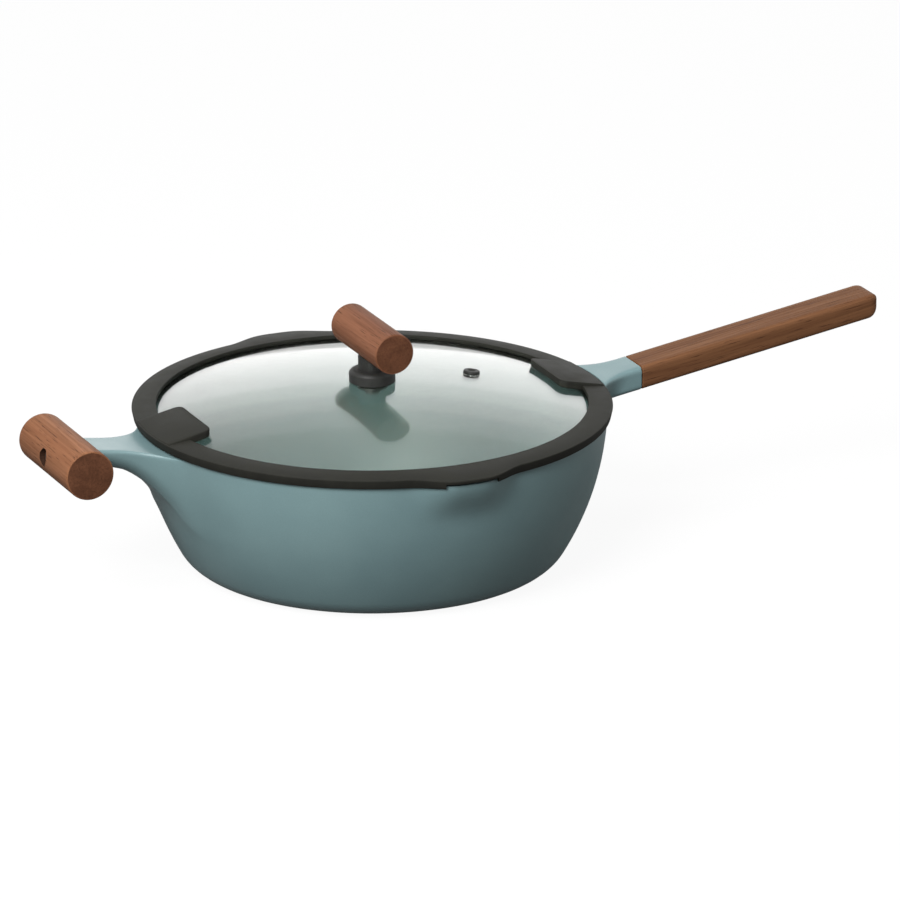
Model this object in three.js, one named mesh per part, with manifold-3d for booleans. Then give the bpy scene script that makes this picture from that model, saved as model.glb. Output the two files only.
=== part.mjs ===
// A deep frying pan of cast aluminium with a long walnut handle, a helper handle and a glass lid
// in a silicone rim. Millimetres, +Z up. The origin is the centre of the pan's foot, and the
// long handle runs along +X.

import * as THREE from "three";
import { mergeVertices } from "three/addons/utils/BufferGeometryUtils.js";
import Module from "manifold-3d";

const DEGREE = Math.PI / 180;

// Pan: the foot, the round corner above it and the wall that steepens up to the rim
const FOOT_RADIUS = 96.4;
const RIM_RADIUS = 139.3;
const PAN_HEIGHT = 92;
const WALL = 3;
const FLOOR = 5;
const CORNER_RADIUS = 22.3;
const CORNER_TURN = 59.5 * DEGREE;
const RIM_TURN = 87.4 * DEGREE;
const RIM_EASE = 0.8;

// Pouring spouts, pushed out of the rim at +Y and -Y
const SPOUT_BULGE = 8.7;
const SPOUT_FLAT_ANGLE = 3 * DEGREE;
const SPOUT_HALF_ANGLE = 14.5 * DEGREE;
const SPOUT_DEPTH = 26;

// Steel disc let into the foot, for induction hobs
const DISC_RADIUS = 84;
const DISC_THICKNESS = 1.5;

// Arms cast on the pan: how far they root down the wall, and how their undersides sweep to it
const ROOT_DROP = 50;
const ROOT_DEPTH = 4.5;
const SWEEP_POWER = 1.95;

// Long handle: a cast stub with a tang inside a walnut grip
const HANDLE_TILT = 9.4 * DEGREE;
const HANDLE_WIDTH = 26;
const HANDLE_HEIGHT = 14.3;
const HANDLE_ROUND = 3;
const STUB_LENGTH = 30.9;
const STUB_RISE = 0.9;
const STUB_STRAIGHT = 20;
const STUB_FILLET = 30;
const STUB_EASE = 0.7;
const GRIP_LENGTH = 157.4;
const GRIP_END_ROUND = 6;
const GRIP_END_TOP = 3;
const GRIP_END_SIDE = 4;
const GRIP_WALL = 4;
const TANG_LENGTH = 46;
const TANG_WIDTH = 13;
const TANG_ROUND = 1;
const GRIP_SCREW_FIRST = 14;
const GRIP_SCREW_SPACING = 20;
const GRIP_SCREW_RADIUS = 2;
const GRIP_HEAD_RADIUS = 3.5;
const GRIP_HEAD_HEIGHT = 1.8;
const GRIP_HEAD_SINK = 0.4;

// Helper handle: a cast arm that ends in a saddle for a walnut dowel
const FINGER_GAP = 40;
const HELPER_RADIUS = 14.66;
const HELPER_LENGTH = 78;
const HELPER_DROP = 2.8;
const ARM_WIDTH = 28;
const ARM_THICKNESS = 11.5;
const ARM_TILT = 8.2 * DEGREE;
const ARM_ROUND = 2;
const ARM_STRAIGHT = 7;
const ARM_FILLET = 40;
const HELPER_SCREW_TILT = 6 * DEGREE;
const HELPER_SCREW_RADIUS = 2.9;
const HELPER_SCREW_BITE = 13.5;
const HELPER_HEAD_RADIUS = 4.5;
const HELPER_HEAD_HEIGHT = 4;
const HELPER_BORE_RADIUS = 5.1;
const HELPER_BORE_FLOOR = 6;
const HELPER_WASHER_THICKNESS = 1;

// Silicone rim of the lid: a top plate, a skirt outside the pan's rim and a plug inside it
const SKIRT_THICKNESS = 2.6;
const SKIRT_DROP = 1.4;
const SKIRT_DRAFT = 1.2;
const PLUG_WALL = 2.6;
const PLUG_LIP = 2.2;
const PLUG_DRAFT = 1;
const LIP_SETBACK = 1;
const RING_RISE = 5.8;
const RING_FALL = 1.8;
const RING_EASE = 0.7;
const LIP_BULGE = 8.3;
const LIP_DROP = 1.1;
const POUR_GAP = 1.2;
const POUR_HALF_WIDTH = 16.5;

// Pads on the silicone rim, above both handles
const PAD_REACH = 30.5;
const PAD_HALF_WIDTH = 24.5;
const PAD_RISE = 6.5;
const PAD_STEP = 0.1;
const PAD_CORNER = 5;
const PAD_INSET = 0.8;

// Domed glass
const GLASS_THICKNESS = 4;
const GLASS_GRIP = 5;
const GLASS_SINK = 2.9;
const GLASS_RISE = 15.2;

// Steam vent in the glass, in line with the long handle
const VENT_REACH = 64;
const VENT_BORE = 1.3;
const VENT_SHANK = 3.2;
const VENT_FLANGE = 5;
const VENT_FLANGE_HEIGHT = 2;
const VENT_WASHER_RADIUS = 5.6;
const VENT_WASHER_THICKNESS = 0.8;

// Lid knob: a walnut dowel on a black post, held by one long screw from under the glass
const KNOB_RADIUS = 12.2;
const KNOB_LENGTH = 67;
const KNOB_LIFT = 13.9;
const COLLAR_RADIUS = 13.8;
const COLLAR_HEIGHT = 4.8;
const SHOULDER_RADIUS = 10.4;
const SHOULDER_HEIGHT = 2.6;
const NECK_RADIUS = 8.4;
const KNOB_SCREW_RADIUS = 2.4;
const KNOB_SCREW_BITE = 10;
const KNOB_HEAD_RADIUS = 4.5;
const KNOB_HEAD_HEIGHT = 3;
const INSERT_WALL = 1.2;
const INSERT_LENGTH = 9;
const INSERT_SINK = 1.5;
const GASKET_RADIUS = 12;
const GASKET_THICKNESS = 0.8;
const KNOB_WASHER_RADIUS = 9;
const KNOB_WASHER_THICKNESS = 1.2;

// Eased ends of the dowels, and the driving sockets as a share of a screw's head
const DOWEL_EASE = 0.8;
const SOCKET_SHARE = 0.5;

// Clearances: between stacked pieces, round a fitted piece, and between the lid and the pan
const SEAT = 0.1;
const FIT = 0.3;
const RIM_SEAT = 0.3;
const SKIRT_GAP = 0.6;
const PLUG_GAP = 0.5;
const LID_CLEARANCE = 0.7;

// How finely round shapes are cut
const TURN_STEPS = 80;
const DOWEL_STEPS = 32;
const SMALL_STEPS = 16;
const WALL_STEPS = 7;
const CORNER_STEPS = 4;
const DOME_STEPS = 7;
const ARM_STEPS = 9;
const ARM_LEVELS = 4;
const EDGE_STEPS = 2;

// Sizes that follow from the ones above
const RIM_INSIDE = RIM_RADIUS - WALL;
const ROOT_Z = PAN_HEIGHT - ROOT_DROP;
const JOINT_X = RIM_RADIUS + STUB_LENGTH;
const JOINT_Z = PAN_HEIGHT + STUB_RISE;
const TANG_HEIGHT = HANDLE_HEIGHT - 2 * GRIP_WALL;
const GRIP_HEAD_Z = -HANDLE_HEIGHT / 2 + GRIP_HEAD_SINK + GRIP_HEAD_HEIGHT;
const GRIP_SCREW_PLACES = [GRIP_SCREW_FIRST, GRIP_SCREW_FIRST + GRIP_SCREW_SPACING];
const HELPER_FACE = RIM_RADIUS + FINGER_GAP;
const HELPER_X = -(HELPER_FACE + HELPER_RADIUS);
const HELPER_Z = PAN_HEIGHT - HELPER_DROP;
const HELPER_WASHER_Z = -HELPER_BORE_FLOOR - FIT - HELPER_WASHER_THICKNESS;
const HELPER_HEAD_Z = HELPER_WASHER_Z - SEAT;
const SKIRT_INSIDE = RIM_RADIUS + SKIRT_GAP;
const RING_RADIUS = SKIRT_INSIDE + SKIRT_THICKNESS;
const SKIRT_Z = PAN_HEIGHT - SKIRT_DROP;
const PLATE_Z = PAN_HEIGHT + RIM_SEAT;
const RING_TOP = PAN_HEIGHT + RING_RISE;
const RING_EDGE = RING_TOP - RING_FALL;
const PLUG_RADIUS = RIM_INSIDE - PLUG_GAP;
const GLASS_RADIUS = PLUG_RADIUS - PLUG_WALL - FIT;
const OPENING_RADIUS = GLASS_RADIUS - GLASS_GRIP;
const GLASS_TOP = RING_TOP - GLASS_SINK + GLASS_RISE;
const GLASS_UNDER = GLASS_TOP - GLASS_THICKNESS;
const DOME_RADIUS = (OPENING_RADIUS ** 2 + GLASS_RISE ** 2) / (2 * GLASS_RISE);
const UNDER_RADIUS = DOME_RADIUS - GLASS_THICKNESS;
const DOME_CENTRE = GLASS_TOP - DOME_RADIUS;
const VENT_TILT = Math.asin(VENT_REACH / DOME_RADIUS);
const KNOB_BOTTOM = GLASS_TOP + KNOB_LIFT;
const KNOB_Z = KNOB_BOTTOM + KNOB_RADIUS;
const KNOB_BORE = KNOB_SCREW_RADIUS + FIT;
const INSERT_RADIUS = KNOB_BORE + INSERT_WALL;
const UPPER_GASKET_Z = GLASS_TOP + SEAT;
const LOWER_GASKET_Z = GLASS_UNDER - FIT - GASKET_THICKNESS;
const KNOB_WASHER_Z = LOWER_GASKET_Z - SEAT - KNOB_WASHER_THICKNESS;
const KNOB_HEAD_Z = KNOB_WASHER_Z - SEAT;
const FAR = 2 * (RIM_RADIUS + PAN_HEIGHT);

const wasm = await Module();
wasm.setup();

// A closed geometry as a solid that can be joined and cut.
function solid(geometry) {
  const bare = geometry.index ? geometry.toNonIndexed() : geometry.clone();
  bare.deleteAttribute("normal");
  bare.deleteAttribute("uv");
  const merged = mergeVertices(bare);
  const corners = merged.index.array;
  const kept = [];
  for (let i = 0; i < corners.length; i += 3) {
    const [a, b, c] = corners.subarray(i, i + 3);
    if (a !== b && b !== c && c !== a) kept.push(a, b, c);
  }
  return new wasm.Manifold(
    new wasm.Mesh({
      numProp: 3,
      vertProperties: merged.getAttribute("position").array,
      triVerts: new Uint32Array(kept),
    }),
  );
}

function geometryOf(body) {
  const mesh = body.getMesh();
  const geometry = new THREE.BufferGeometry();
  geometry.setAttribute("position", new THREE.BufferAttribute(mesh.vertProperties, 3));
  geometry.setIndex(new THREE.BufferAttribute(mesh.triVerts, 1));
  geometry.computeVertexNormals();
  return geometry;
}

function join(first, ...others) {
  return others.reduce((body, other) => body.add(other), first);
}

function cut(first, ...tools) {
  return tools.reduce((body, tool) => body.subtract(tool), first);
}

function point(x, y) {
  return new THREE.Vector2(x, y);
}

// A profile of radius and height, turned about the Z axis.
function turned(profile, steps) {
  return new THREE.LatheGeometry(profile, steps).rotateX(Math.PI / 2);
}

// A closed profile that doesn't reach the axis, as of a ring.
function turnedRing(profile, steps) {
  return turned([...profile, profile[0].clone()], steps);
}

function tube(inner, outer, low, high) {
  const profile = [point(inner, low), point(outer, low), point(outer, high), point(inner, high)];
  return turnedRing(profile, SMALL_STEPS);
}

function rod(radius, low, high, steps = SMALL_STEPS) {
  return turned([point(0, low), point(radius, low), point(radius, high), point(0, high)], steps);
}

// A dowel along Y with eased ends.
function dowel(radius, length) {
  const half = length / 2;
  const profile = [
    point(0, -half),
    point(radius - DOWEL_EASE, -half),
    point(radius, -half + DOWEL_EASE),
    point(radius, half - DOWEL_EASE),
    point(radius - DOWEL_EASE, half),
    point(0, half),
  ];
  return turned(profile, DOWEL_STEPS).rotateX(Math.PI / 2);
}

// A screw along +Z. Its head lies below the height 0 and has a driving socket.
function screw(radius, length, headRadius, headHeight) {
  const socket = headRadius * SOCKET_SHARE;
  const socketFloor = -headHeight * SOCKET_SHARE;
  const profile = [
    point(0, socketFloor),
    point(socket, socketFloor),
    point(socket, -headHeight),
    point(headRadius, -headHeight),
    point(headRadius, 0),
    point(radius, 0),
    point(radius, length),
    point(0, length),
  ];
  return turned(profile, SMALL_STEPS);
}

function frameAt(x, z, turn) {
  const place = new THREE.Matrix4().makeTranslation(x, 0, z);
  return place.multiply(new THREE.Matrix4().makeRotationY(turn));
}

const handleFrame = frameAt(JOINT_X, JOINT_Z, -HANDLE_TILT);
const helperFrame = frameAt(HELPER_X, HELPER_Z, HELPER_SCREW_TILT + Math.PI / 2);
const ventFrame = frameAt(VENT_REACH, DOME_CENTRE + DOME_RADIUS * Math.cos(VENT_TILT), VENT_TILT);

// Profile of the pan from the centre of its floor to its rim, for the outside or the inside.
function panProfile(flatRadius, flatZ, cornerRadius, rimRadius) {
  const middle = point(flatRadius, flatZ + cornerRadius);
  const down = -Math.PI / 2;
  const corner = [];
  for (let i = 0; i <= CORNER_STEPS; i++) {
    const turn = down + (CORNER_TURN * i) / CORNER_STEPS;
    const arm = point(Math.cos(turn), Math.sin(turn));
    corner.push(middle.clone().addScaledVector(arm, cornerRadius));
  }
  const start = corner.at(-1);
  const rim = point(rimRadius, PAN_HEIGHT);
  const low = point(Math.cos(CORNER_TURN), Math.sin(CORNER_TURN));
  const high = point(Math.cos(RIM_TURN), Math.sin(RIM_TURN));
  const reach = rim.clone().sub(start).cross(high) / low.cross(high);
  const bend = start.clone().addScaledVector(low, reach);
  const wall = new THREE.QuadraticBezierCurve(start, bend, rim).getPoints(WALL_STEPS);
  return [point(0, flatZ), ...corner, ...wall.slice(1)];
}

const outsideProfile = panProfile(FOOT_RADIUS, 0, CORNER_RADIUS, RIM_RADIUS);

// Outer radius of the pan's wall at a height, and of the rim at heights above it.
function wallRadius(z) {
  const height = Math.min(z, PAN_HEIGHT);
  const above = outsideProfile.findIndex((p) => p.y > 0 && p.y >= height);
  const [low, high] = outsideProfile.slice(above - 1, above + 1);
  return THREE.MathUtils.mapLinear(height, low.y, high.y, low.x, high.x);
}

// Pushes the points near +Y and -Y outwards, from nothing at one height to all of it at another.
// What lies above a further height may drop as well.
function pushSpouts(geometry, bulge, low, high, innermost, drop = 0, dropFrom = 0) {
  const places = geometry.getAttribute("position");
  for (let i = 0; i < places.count; i++) {
    const x = places.getX(i);
    const y = places.getY(i);
    const radius = Math.hypot(x, y);
    const aside = Math.abs(Math.abs(Math.atan2(y, x)) - Math.PI / 2);
    if (radius < innermost || aside > SPOUT_HALF_ANGLE) continue;
    const across = 1 - THREE.MathUtils.smoothstep(aside, SPOUT_FLAT_ANGLE, SPOUT_HALF_ANGLE);
    const z = places.getZ(i);
    const stretch = 1 + (bulge * across * THREE.MathUtils.smoothstep(z, low, high)) / radius;
    places.setXYZ(i, x * stretch, y * stretch, z > dropFrom ? z - drop * across : z);
  }
  return geometry;
}

// A closed ring of points at a distance along X: up the +Y side and down the -Y side, with round
// edges. halfWidth gives the section's half width at a height.
function sectionRing(x, bottom, top, round, halfWidth) {
  const side = [];
  for (let i = 0; i <= EDGE_STEPS; i++) {
    const turn = (Math.PI / 2) * (i / EDGE_STEPS - 1);
    const z = bottom + round * (1 + Math.sin(turn));
    side.push([halfWidth(z) - round * (1 - Math.cos(turn)), z]);
  }
  for (let i = 1; i < ARM_LEVELS; i++) {
    const z = THREE.MathUtils.lerp(bottom + round, top - round, i / ARM_LEVELS);
    side.push([halfWidth(z), z]);
  }
  for (let i = 0; i <= EDGE_STEPS; i++) {
    const turn = (Math.PI / 2) * (i / EDGE_STEPS);
    const z = top - round * (1 - Math.sin(turn));
    side.push([halfWidth(z) - round * (1 - Math.cos(turn)), z]);
  }
  const far = side.map(([y, z]) => new THREE.Vector3(x, y, z));
  const near = side.map(([y, z]) => new THREE.Vector3(x, -y, z)).reverse();
  return [...far, ...near];
}

// A closed skin over section rings that follow each other along +X.
function loft(rings) {
  const count = rings[0].length;
  const corners = [];
  for (let k = 0; k + 1 < rings.length; k++) {
    for (let i = 0; i < count; i++) {
      const next = (i + 1) % count;
      const [a, b] = [rings[k][i], rings[k][next]];
      const [c, d] = [rings[k + 1][next], rings[k + 1][i]];
      corners.push(a, b, c, a, c, d);
    }
  }
  const [first, last] = [rings[0], rings.at(-1)];
  for (let i = 0; i + 1 < count / 2; i++) {
    const [low, high] = [count - 1 - i, count - 2 - i];
    corners.push(first[i], first[low], first[high], first[i], first[high], first[i + 1]);
    corners.push(last[i], last[high], last[low], last[i], last[i + 1], last[high]);
  }
  return new THREE.BufferGeometry().setFromPoints(corners);
}

// Half width of a cast arm: its own, widened by a round fillet that runs out along the wall.
function filletedWidth(x, z, width, fillet) {
  const half = width / 2;
  const wall = wallRadius(z);
  const middleY = half + fillet;
  const middleX = Math.sqrt((wall + fillet) ** 2 - middleY ** 2);
  const meet = wall / (wall + fillet);
  if (x >= middleX) return half;
  if (x >= middleX * meet) return middleY - Math.sqrt(fillet ** 2 - (middleX - x) ** 2);
  return Math.sqrt(Math.max(wall ** 2 - x ** 2, 0));
}

// An arm cast on the pan, drawn along +X from inside the wall to its end. middle gives the height
// of its centre line, and its underside sweeps down to the wall before the place called straight.
function castArm({ end, straight, middle, thickness, width, round, fillet, ease }) {
  const root = wallRadius(ROOT_Z) - ROOT_DEPTH;
  const half = thickness / 2;
  const drop = middle(root) - half - ROOT_Z;
  const places = [];
  for (let i = 0; i <= ARM_STEPS; i++) {
    places.push(THREE.MathUtils.lerp(root, straight, i / ARM_STEPS));
  }
  places.push(end - ease, end);
  const rings = places.map((x) => {
    const inset = x === end ? ease : 0;
    const share = Math.max((straight - x) / (straight - root), 0);
    const bottom = middle(x) - half - drop * share ** SWEEP_POWER + inset;
    const halfWidth = (z) => filletedWidth(x, z, width, fillet) - inset;
    return sectionRing(x, bottom, middle(x) + half - inset, round, halfWidth);
  });
  return loft(rings);
}

function handleMiddle(x) {
  return JOINT_Z + (x - JOINT_X) * Math.tan(HANDLE_TILT);
}

function armMiddle(x) {
  return HELPER_Z + (x - HELPER_FACE) * Math.tan(ARM_TILT);
}

// A bar with round edges along the long handle's tilted axis, measured from the joint.
function handleBar(from, to, width, height, round) {
  const halfWidth = () => width / 2;
  const rings = [from, to].map((x) => sectionRing(x, -height / 2, height / 2, round, halfWidth));
  return loft(rings).applyMatrix4(handleFrame);
}

function gripHole(place, radius, low, high) {
  return solid(rod(radius, low, high).translate(place, 0, 0).applyMatrix4(handleFrame));
}

function panBody() {
  const outside = outsideProfile.slice(0, -1);
  outside.push(point(RIM_RADIUS, PAN_HEIGHT - RIM_EASE));
  outside.push(point(RIM_RADIUS - RIM_EASE, PAN_HEIGHT), point(0, PAN_HEIGHT));
  const floorRadius = FOOT_RADIUS + (FLOOR - WALL) / Math.tan(CORNER_TURN);
  const inside = panProfile(floorRadius, FLOOR, CORNER_RADIUS - WALL, RIM_INSIDE);
  inside.push(point(RIM_INSIDE, FAR), point(0, FAR));
  const [shell, hollow] = [outside, inside].map((profile) => {
    const spoutFoot = PAN_HEIGHT - SPOUT_DEPTH;
    const spoutTop = PAN_HEIGHT - RIM_EASE;
    return solid(pushSpouts(turned(profile, TURN_STEPS), SPOUT_BULGE, spoutFoot, spoutTop, FOOT_RADIUS));
  });

  const stub = castArm({
    end: JOINT_X,
    straight: JOINT_X - STUB_STRAIGHT,
    middle: handleMiddle,
    thickness: HANDLE_HEIGHT / Math.cos(HANDLE_TILT),
    width: HANDLE_WIDTH,
    round: HANDLE_ROUND,
    fillet: STUB_FILLET,
    ease: STUB_EASE,
  });
  const tang = handleBar(-STUB_LENGTH / 2, TANG_LENGTH, TANG_WIDTH, TANG_HEIGHT, TANG_ROUND);
  const arm = castArm({
    end: HELPER_FACE + HELPER_RADIUS / 2,
    straight: HELPER_FACE - ARM_STRAIGHT,
    middle: armMiddle,
    thickness: ARM_THICKNESS / Math.cos(ARM_TILT),
    width: ARM_WIDTH,
    round: ARM_ROUND,
    fillet: ARM_FILLET,
    ease: STUB_EASE,
  }).rotateZ(Math.PI);
  const saddle = dowel(HELPER_RADIUS + FIT, HELPER_LENGTH).translate(HELPER_X, 0, HELPER_Z);
  const lidRoom = rod(RING_RADIUS + LID_CLEARANCE, SKIRT_Z - LID_CLEARANCE, FAR, TURN_STEPS);
  const arms = cut(join(solid(stub), solid(arm)), solid(lidRoom), solid(saddle));

  const threadEnd = HELPER_RADIUS + HELPER_SCREW_BITE + FIT;
  const helperThread = rod(HELPER_SCREW_RADIUS + FIT, 0, threadEnd).applyMatrix4(helperFrame);
  const discSeat = rod(DISC_RADIUS + FIT, -DISC_THICKNESS, DISC_THICKNESS, TURN_STEPS);
  const gripThreads = GRIP_SCREW_PLACES.map((place) =>
    gripHole(place, GRIP_SCREW_RADIUS + FIT, -HANDLE_HEIGHT, HANDLE_HEIGHT),
  );
  const cast = cut(join(shell, arms), hollow, solid(discSeat), solid(helperThread));
  return geometryOf(cut(join(cast, solid(tang)), ...gripThreads));
}

function longHandleGrip() {
  const half = HANDLE_HEIGHT / Math.cos(HANDLE_TILT) / 2;
  const start = JOINT_X + FIT;
  const end = JOINT_X + GRIP_LENGTH;
  const rings = [[start, 0], [end - GRIP_END_ROUND, 0]];
  for (let i = 1; i <= CORNER_STEPS; i++) {
    const turn = ((Math.PI / 2) * i) / CORNER_STEPS;
    rings.push([end - GRIP_END_ROUND * (1 - Math.sin(turn)), 1 - Math.cos(turn)]);
  }
  const skin = loft(
    rings.map(([x, share]) => {
      const bottom = handleMiddle(x) - half + GRIP_END_ROUND * share;
      const top = handleMiddle(x) + half - GRIP_END_TOP * share;
      const halfWidth = () => HANDLE_WIDTH / 2 - GRIP_END_SIDE * share;
      return sectionRing(x, bottom, top, HANDLE_ROUND * (1 - share / 2), halfWidth);
    }),
  );
  const room = 2 * FIT;
  const mortiseEnd = TANG_LENGTH + FIT;
  const mortise = handleBar(-TANG_LENGTH, mortiseEnd, TANG_WIDTH + room, TANG_HEIGHT + room, TANG_ROUND);
  const holes = GRIP_SCREW_PLACES.flatMap((place) => [
    gripHole(place, GRIP_SCREW_RADIUS + FIT, -HANDLE_HEIGHT, 0),
    gripHole(place, GRIP_HEAD_RADIUS + FIT, -HANDLE_HEIGHT, GRIP_HEAD_Z + FIT),
  ]);
  return geometryOf(cut(solid(skin), solid(mortise), ...holes));
}

function gripScrew() {
  const length = TANG_HEIGHT / 2 - GRIP_HEAD_Z;
  return screw(GRIP_SCREW_RADIUS, length, GRIP_HEAD_RADIUS, GRIP_HEAD_HEIGHT);
}

function helperGrip() {
  const bore = rod(HELPER_BORE_RADIUS, -2 * HELPER_RADIUS, -HELPER_BORE_FLOOR);
  const hole = rod(HELPER_SCREW_RADIUS + FIT, -HELPER_RADIUS, 2 * HELPER_RADIUS);
  const holes = [bore, hole].map((tool) => solid(tool.applyMatrix4(helperFrame)));
  const wood = dowel(HELPER_RADIUS, HELPER_LENGTH).translate(HELPER_X, 0, HELPER_Z);
  return geometryOf(cut(solid(wood), ...holes));
}

function helperScrew() {
  const length = HELPER_RADIUS + HELPER_SCREW_BITE - HELPER_HEAD_Z;
  return screw(HELPER_SCREW_RADIUS, length, HELPER_HEAD_RADIUS, HELPER_HEAD_HEIGHT);
}

// Height of a sphere round the dome's centre, at a distance from the axis.
function domeHeight(radius, r) {
  return DOME_CENTRE + Math.sqrt(radius ** 2 - r ** 2);
}

function domeProfile(radius, reach) {
  const points = [];
  for (let i = 0; i <= DOME_STEPS; i++) {
    const r = (reach * i) / DOME_STEPS;
    points.push(point(r, domeHeight(radius, r)));
  }
  return points;
}

function lidGlass() {
  const under = domeProfile(UNDER_RADIUS, GLASS_RADIUS);
  const over = domeProfile(DOME_RADIUS, GLASS_RADIUS).reverse();
  const dome = solid(turned([...under, ...over], TURN_STEPS));
  const knobHole = solid(rod(KNOB_BORE + FIT, 0, FAR));
  const ventHole = rod(VENT_SHANK + FIT, -2 * GLASS_THICKNESS, GLASS_THICKNESS);
  return geometryOf(cut(dome, knobHole, solid(ventHole.applyMatrix4(ventFrame))));
}

// One pad, drawn over +X: a block whose top rises gently from the rim's outer edge to the glass.
function pad() {
  const inner = RING_RADIUS - PAD_REACH;
  const outer = RING_RADIUS;
  const low = RING_EDGE + PAD_STEP;
  const side = new THREE.Shape()
    .moveTo(inner, PLATE_Z + PAD_STEP)
    .lineTo(outer, PLATE_Z + PAD_STEP)
    .lineTo(outer, low)
    .lineTo(inner, low + PAD_RISE);
  const plan = new THREE.Shape()
    .moveTo(outer, -PAD_HALF_WIDTH)
    .lineTo(outer, PAD_HALF_WIDTH)
    .lineTo(inner + PAD_CORNER, PAD_HALF_WIDTH)
    .quadraticCurveTo(inner, PAD_HALF_WIDTH, inner, PAD_HALF_WIDTH - PAD_CORNER)
    .lineTo(inner, PAD_CORNER - PAD_HALF_WIDTH)
    .quadraticCurveTo(inner, -PAD_HALF_WIDTH, inner + PAD_CORNER, -PAD_HALF_WIDTH);
  const width = 2 * (PAD_HALF_WIDTH + PAD_CORNER);
  const flat = { bevelEnabled: false, curveSegments: CORNER_STEPS };
  const block = new THREE.ExtrudeGeometry(side, { ...flat, depth: width });
  const outline = new THREE.ExtrudeGeometry(plan, { ...flat, depth: FAR });
  const round = rod(RING_RADIUS - PAD_INSET, 0, FAR, TURN_STEPS);
  return solid(block.rotateX(Math.PI / 2).translate(0, width / 2, 0))
    .intersect(solid(outline))
    .intersect(solid(round));
}

function lidRim() {
  const groove = GLASS_RADIUS + FIT;
  const lip = OPENING_RADIUS + LIP_SETBACK;
  const grooveBottom = domeHeight(UNDER_RADIUS, groove) - FIT;
  const plugBottom = grooveBottom - PLUG_LIP;
  const section = [
    point(OPENING_RADIUS, plugBottom),
    point(PLUG_RADIUS - PLUG_DRAFT, plugBottom),
    point(PLUG_RADIUS, PLATE_Z),
    point(SKIRT_INSIDE, PLATE_Z),
    point(SKIRT_INSIDE, SKIRT_Z),
    point(RING_RADIUS - SKIRT_DRAFT, SKIRT_Z),
    point(RING_RADIUS, RING_EDGE - RING_EASE),
    point(RING_RADIUS - RING_EASE, RING_EDGE),
    point(OPENING_RADIUS + RING_EASE, RING_TOP),
    point(OPENING_RADIUS, RING_TOP - RING_EASE),
  ];
  const round = turnedRing(section, TURN_STEPS);
  const ring = solid(pushSpouts(round, LIP_BULGE, -FIT, 0, SKIRT_INSIDE - FIT, LIP_DROP, PLATE_Z + FIT));
  const right = pad();
  const left = solid(geometryOf(right).rotateZ(Math.PI));

  const glassRoom = turned(
    [
      point(0, plugBottom - PLUG_LIP),
      point(lip, plugBottom - PLUG_LIP),
      point(lip, domeHeight(UNDER_RADIUS, lip) - FIT),
      point(groove, grooveBottom),
      ...domeProfile(DOME_RADIUS + FIT, groove).reverse(),
    ],
    TURN_STEPS,
  );
  const plug = solid(rod(PLUG_RADIUS, 0, FAR, TURN_STEPS));
  const pourSlot = new THREE.BoxGeometry(2 * POUR_HALF_WIDTH, FAR, PLATE_Z + POUR_GAP);
  const slots = cut(solid(pourSlot.translate(0, 0, (PLATE_Z + POUR_GAP) / 2)), plug);
  return geometryOf(cut(join(ring, right, left), solid(glassRoom), slots));
}

function ventEyelet() {
  const end = -GLASS_THICKNESS - FIT - VENT_WASHER_THICKNESS - SEAT;
  return turnedRing(
    [
      point(VENT_BORE, end),
      point(VENT_SHANK, end),
      point(VENT_SHANK, SEAT),
      point(VENT_FLANGE, SEAT),
      point(VENT_FLANGE, VENT_FLANGE_HEIGHT / 2),
      point(VENT_FLANGE - VENT_FLANGE_HEIGHT / 2, VENT_FLANGE_HEIGHT),
      point(VENT_BORE, VENT_FLANGE_HEIGHT),
    ],
    SMALL_STEPS,
  );
}

function ventWasher() {
  const top = -GLASS_THICKNESS - FIT;
  return tube(VENT_SHANK + FIT, VENT_WASHER_RADIUS, top - VENT_WASHER_THICKNESS, top);
}

function knobPost() {
  const bottom = GLASS_TOP + FIT;
  const gasketTop = UPPER_GASKET_Z + GASKET_THICKNESS + SEAT;
  const shoulder = bottom + COLLAR_HEIGHT;
  const profile = [
    point(KNOB_BORE, gasketTop),
    point(GASKET_RADIUS + FIT, gasketTop),
    point(GASKET_RADIUS + FIT, bottom),
    point(COLLAR_RADIUS, bottom),
  ];
  for (let i = 0; i <= CORNER_STEPS; i++) {
    const turn = ((Math.PI / 2) * i) / CORNER_STEPS;
    const r = SHOULDER_RADIUS + (COLLAR_RADIUS - SHOULDER_RADIUS) * Math.cos(turn);
    profile.push(point(r, shoulder + SHOULDER_HEIGHT * Math.sin(turn)));
  }
  profile.push(point(NECK_RADIUS, shoulder + SHOULDER_HEIGHT));
  profile.push(point(NECK_RADIUS, KNOB_Z), point(KNOB_BORE, KNOB_Z));
  const saddle = dowel(KNOB_RADIUS + FIT, KNOB_LENGTH).translate(0, 0, KNOB_Z);
  return geometryOf(cut(solid(turnedRing(profile, DOWEL_STEPS)), solid(saddle)));
}

function knobGrip() {
  const hole = rod(INSERT_RADIUS + FIT, 0, KNOB_BOTTOM + INSERT_SINK + INSERT_LENGTH + FIT);
  const tip = rod(KNOB_BORE, 0, KNOB_BOTTOM + KNOB_SCREW_BITE + FIT);
  const wood = dowel(KNOB_RADIUS, KNOB_LENGTH).translate(0, 0, KNOB_Z);
  return geometryOf(cut(solid(wood), solid(hole), solid(tip)));
}

function knobScrew() {
  const length = KNOB_BOTTOM + KNOB_SCREW_BITE - KNOB_HEAD_Z;
  return screw(KNOB_SCREW_RADIUS, length, KNOB_HEAD_RADIUS, KNOB_HEAD_HEIGHT);
}

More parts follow.
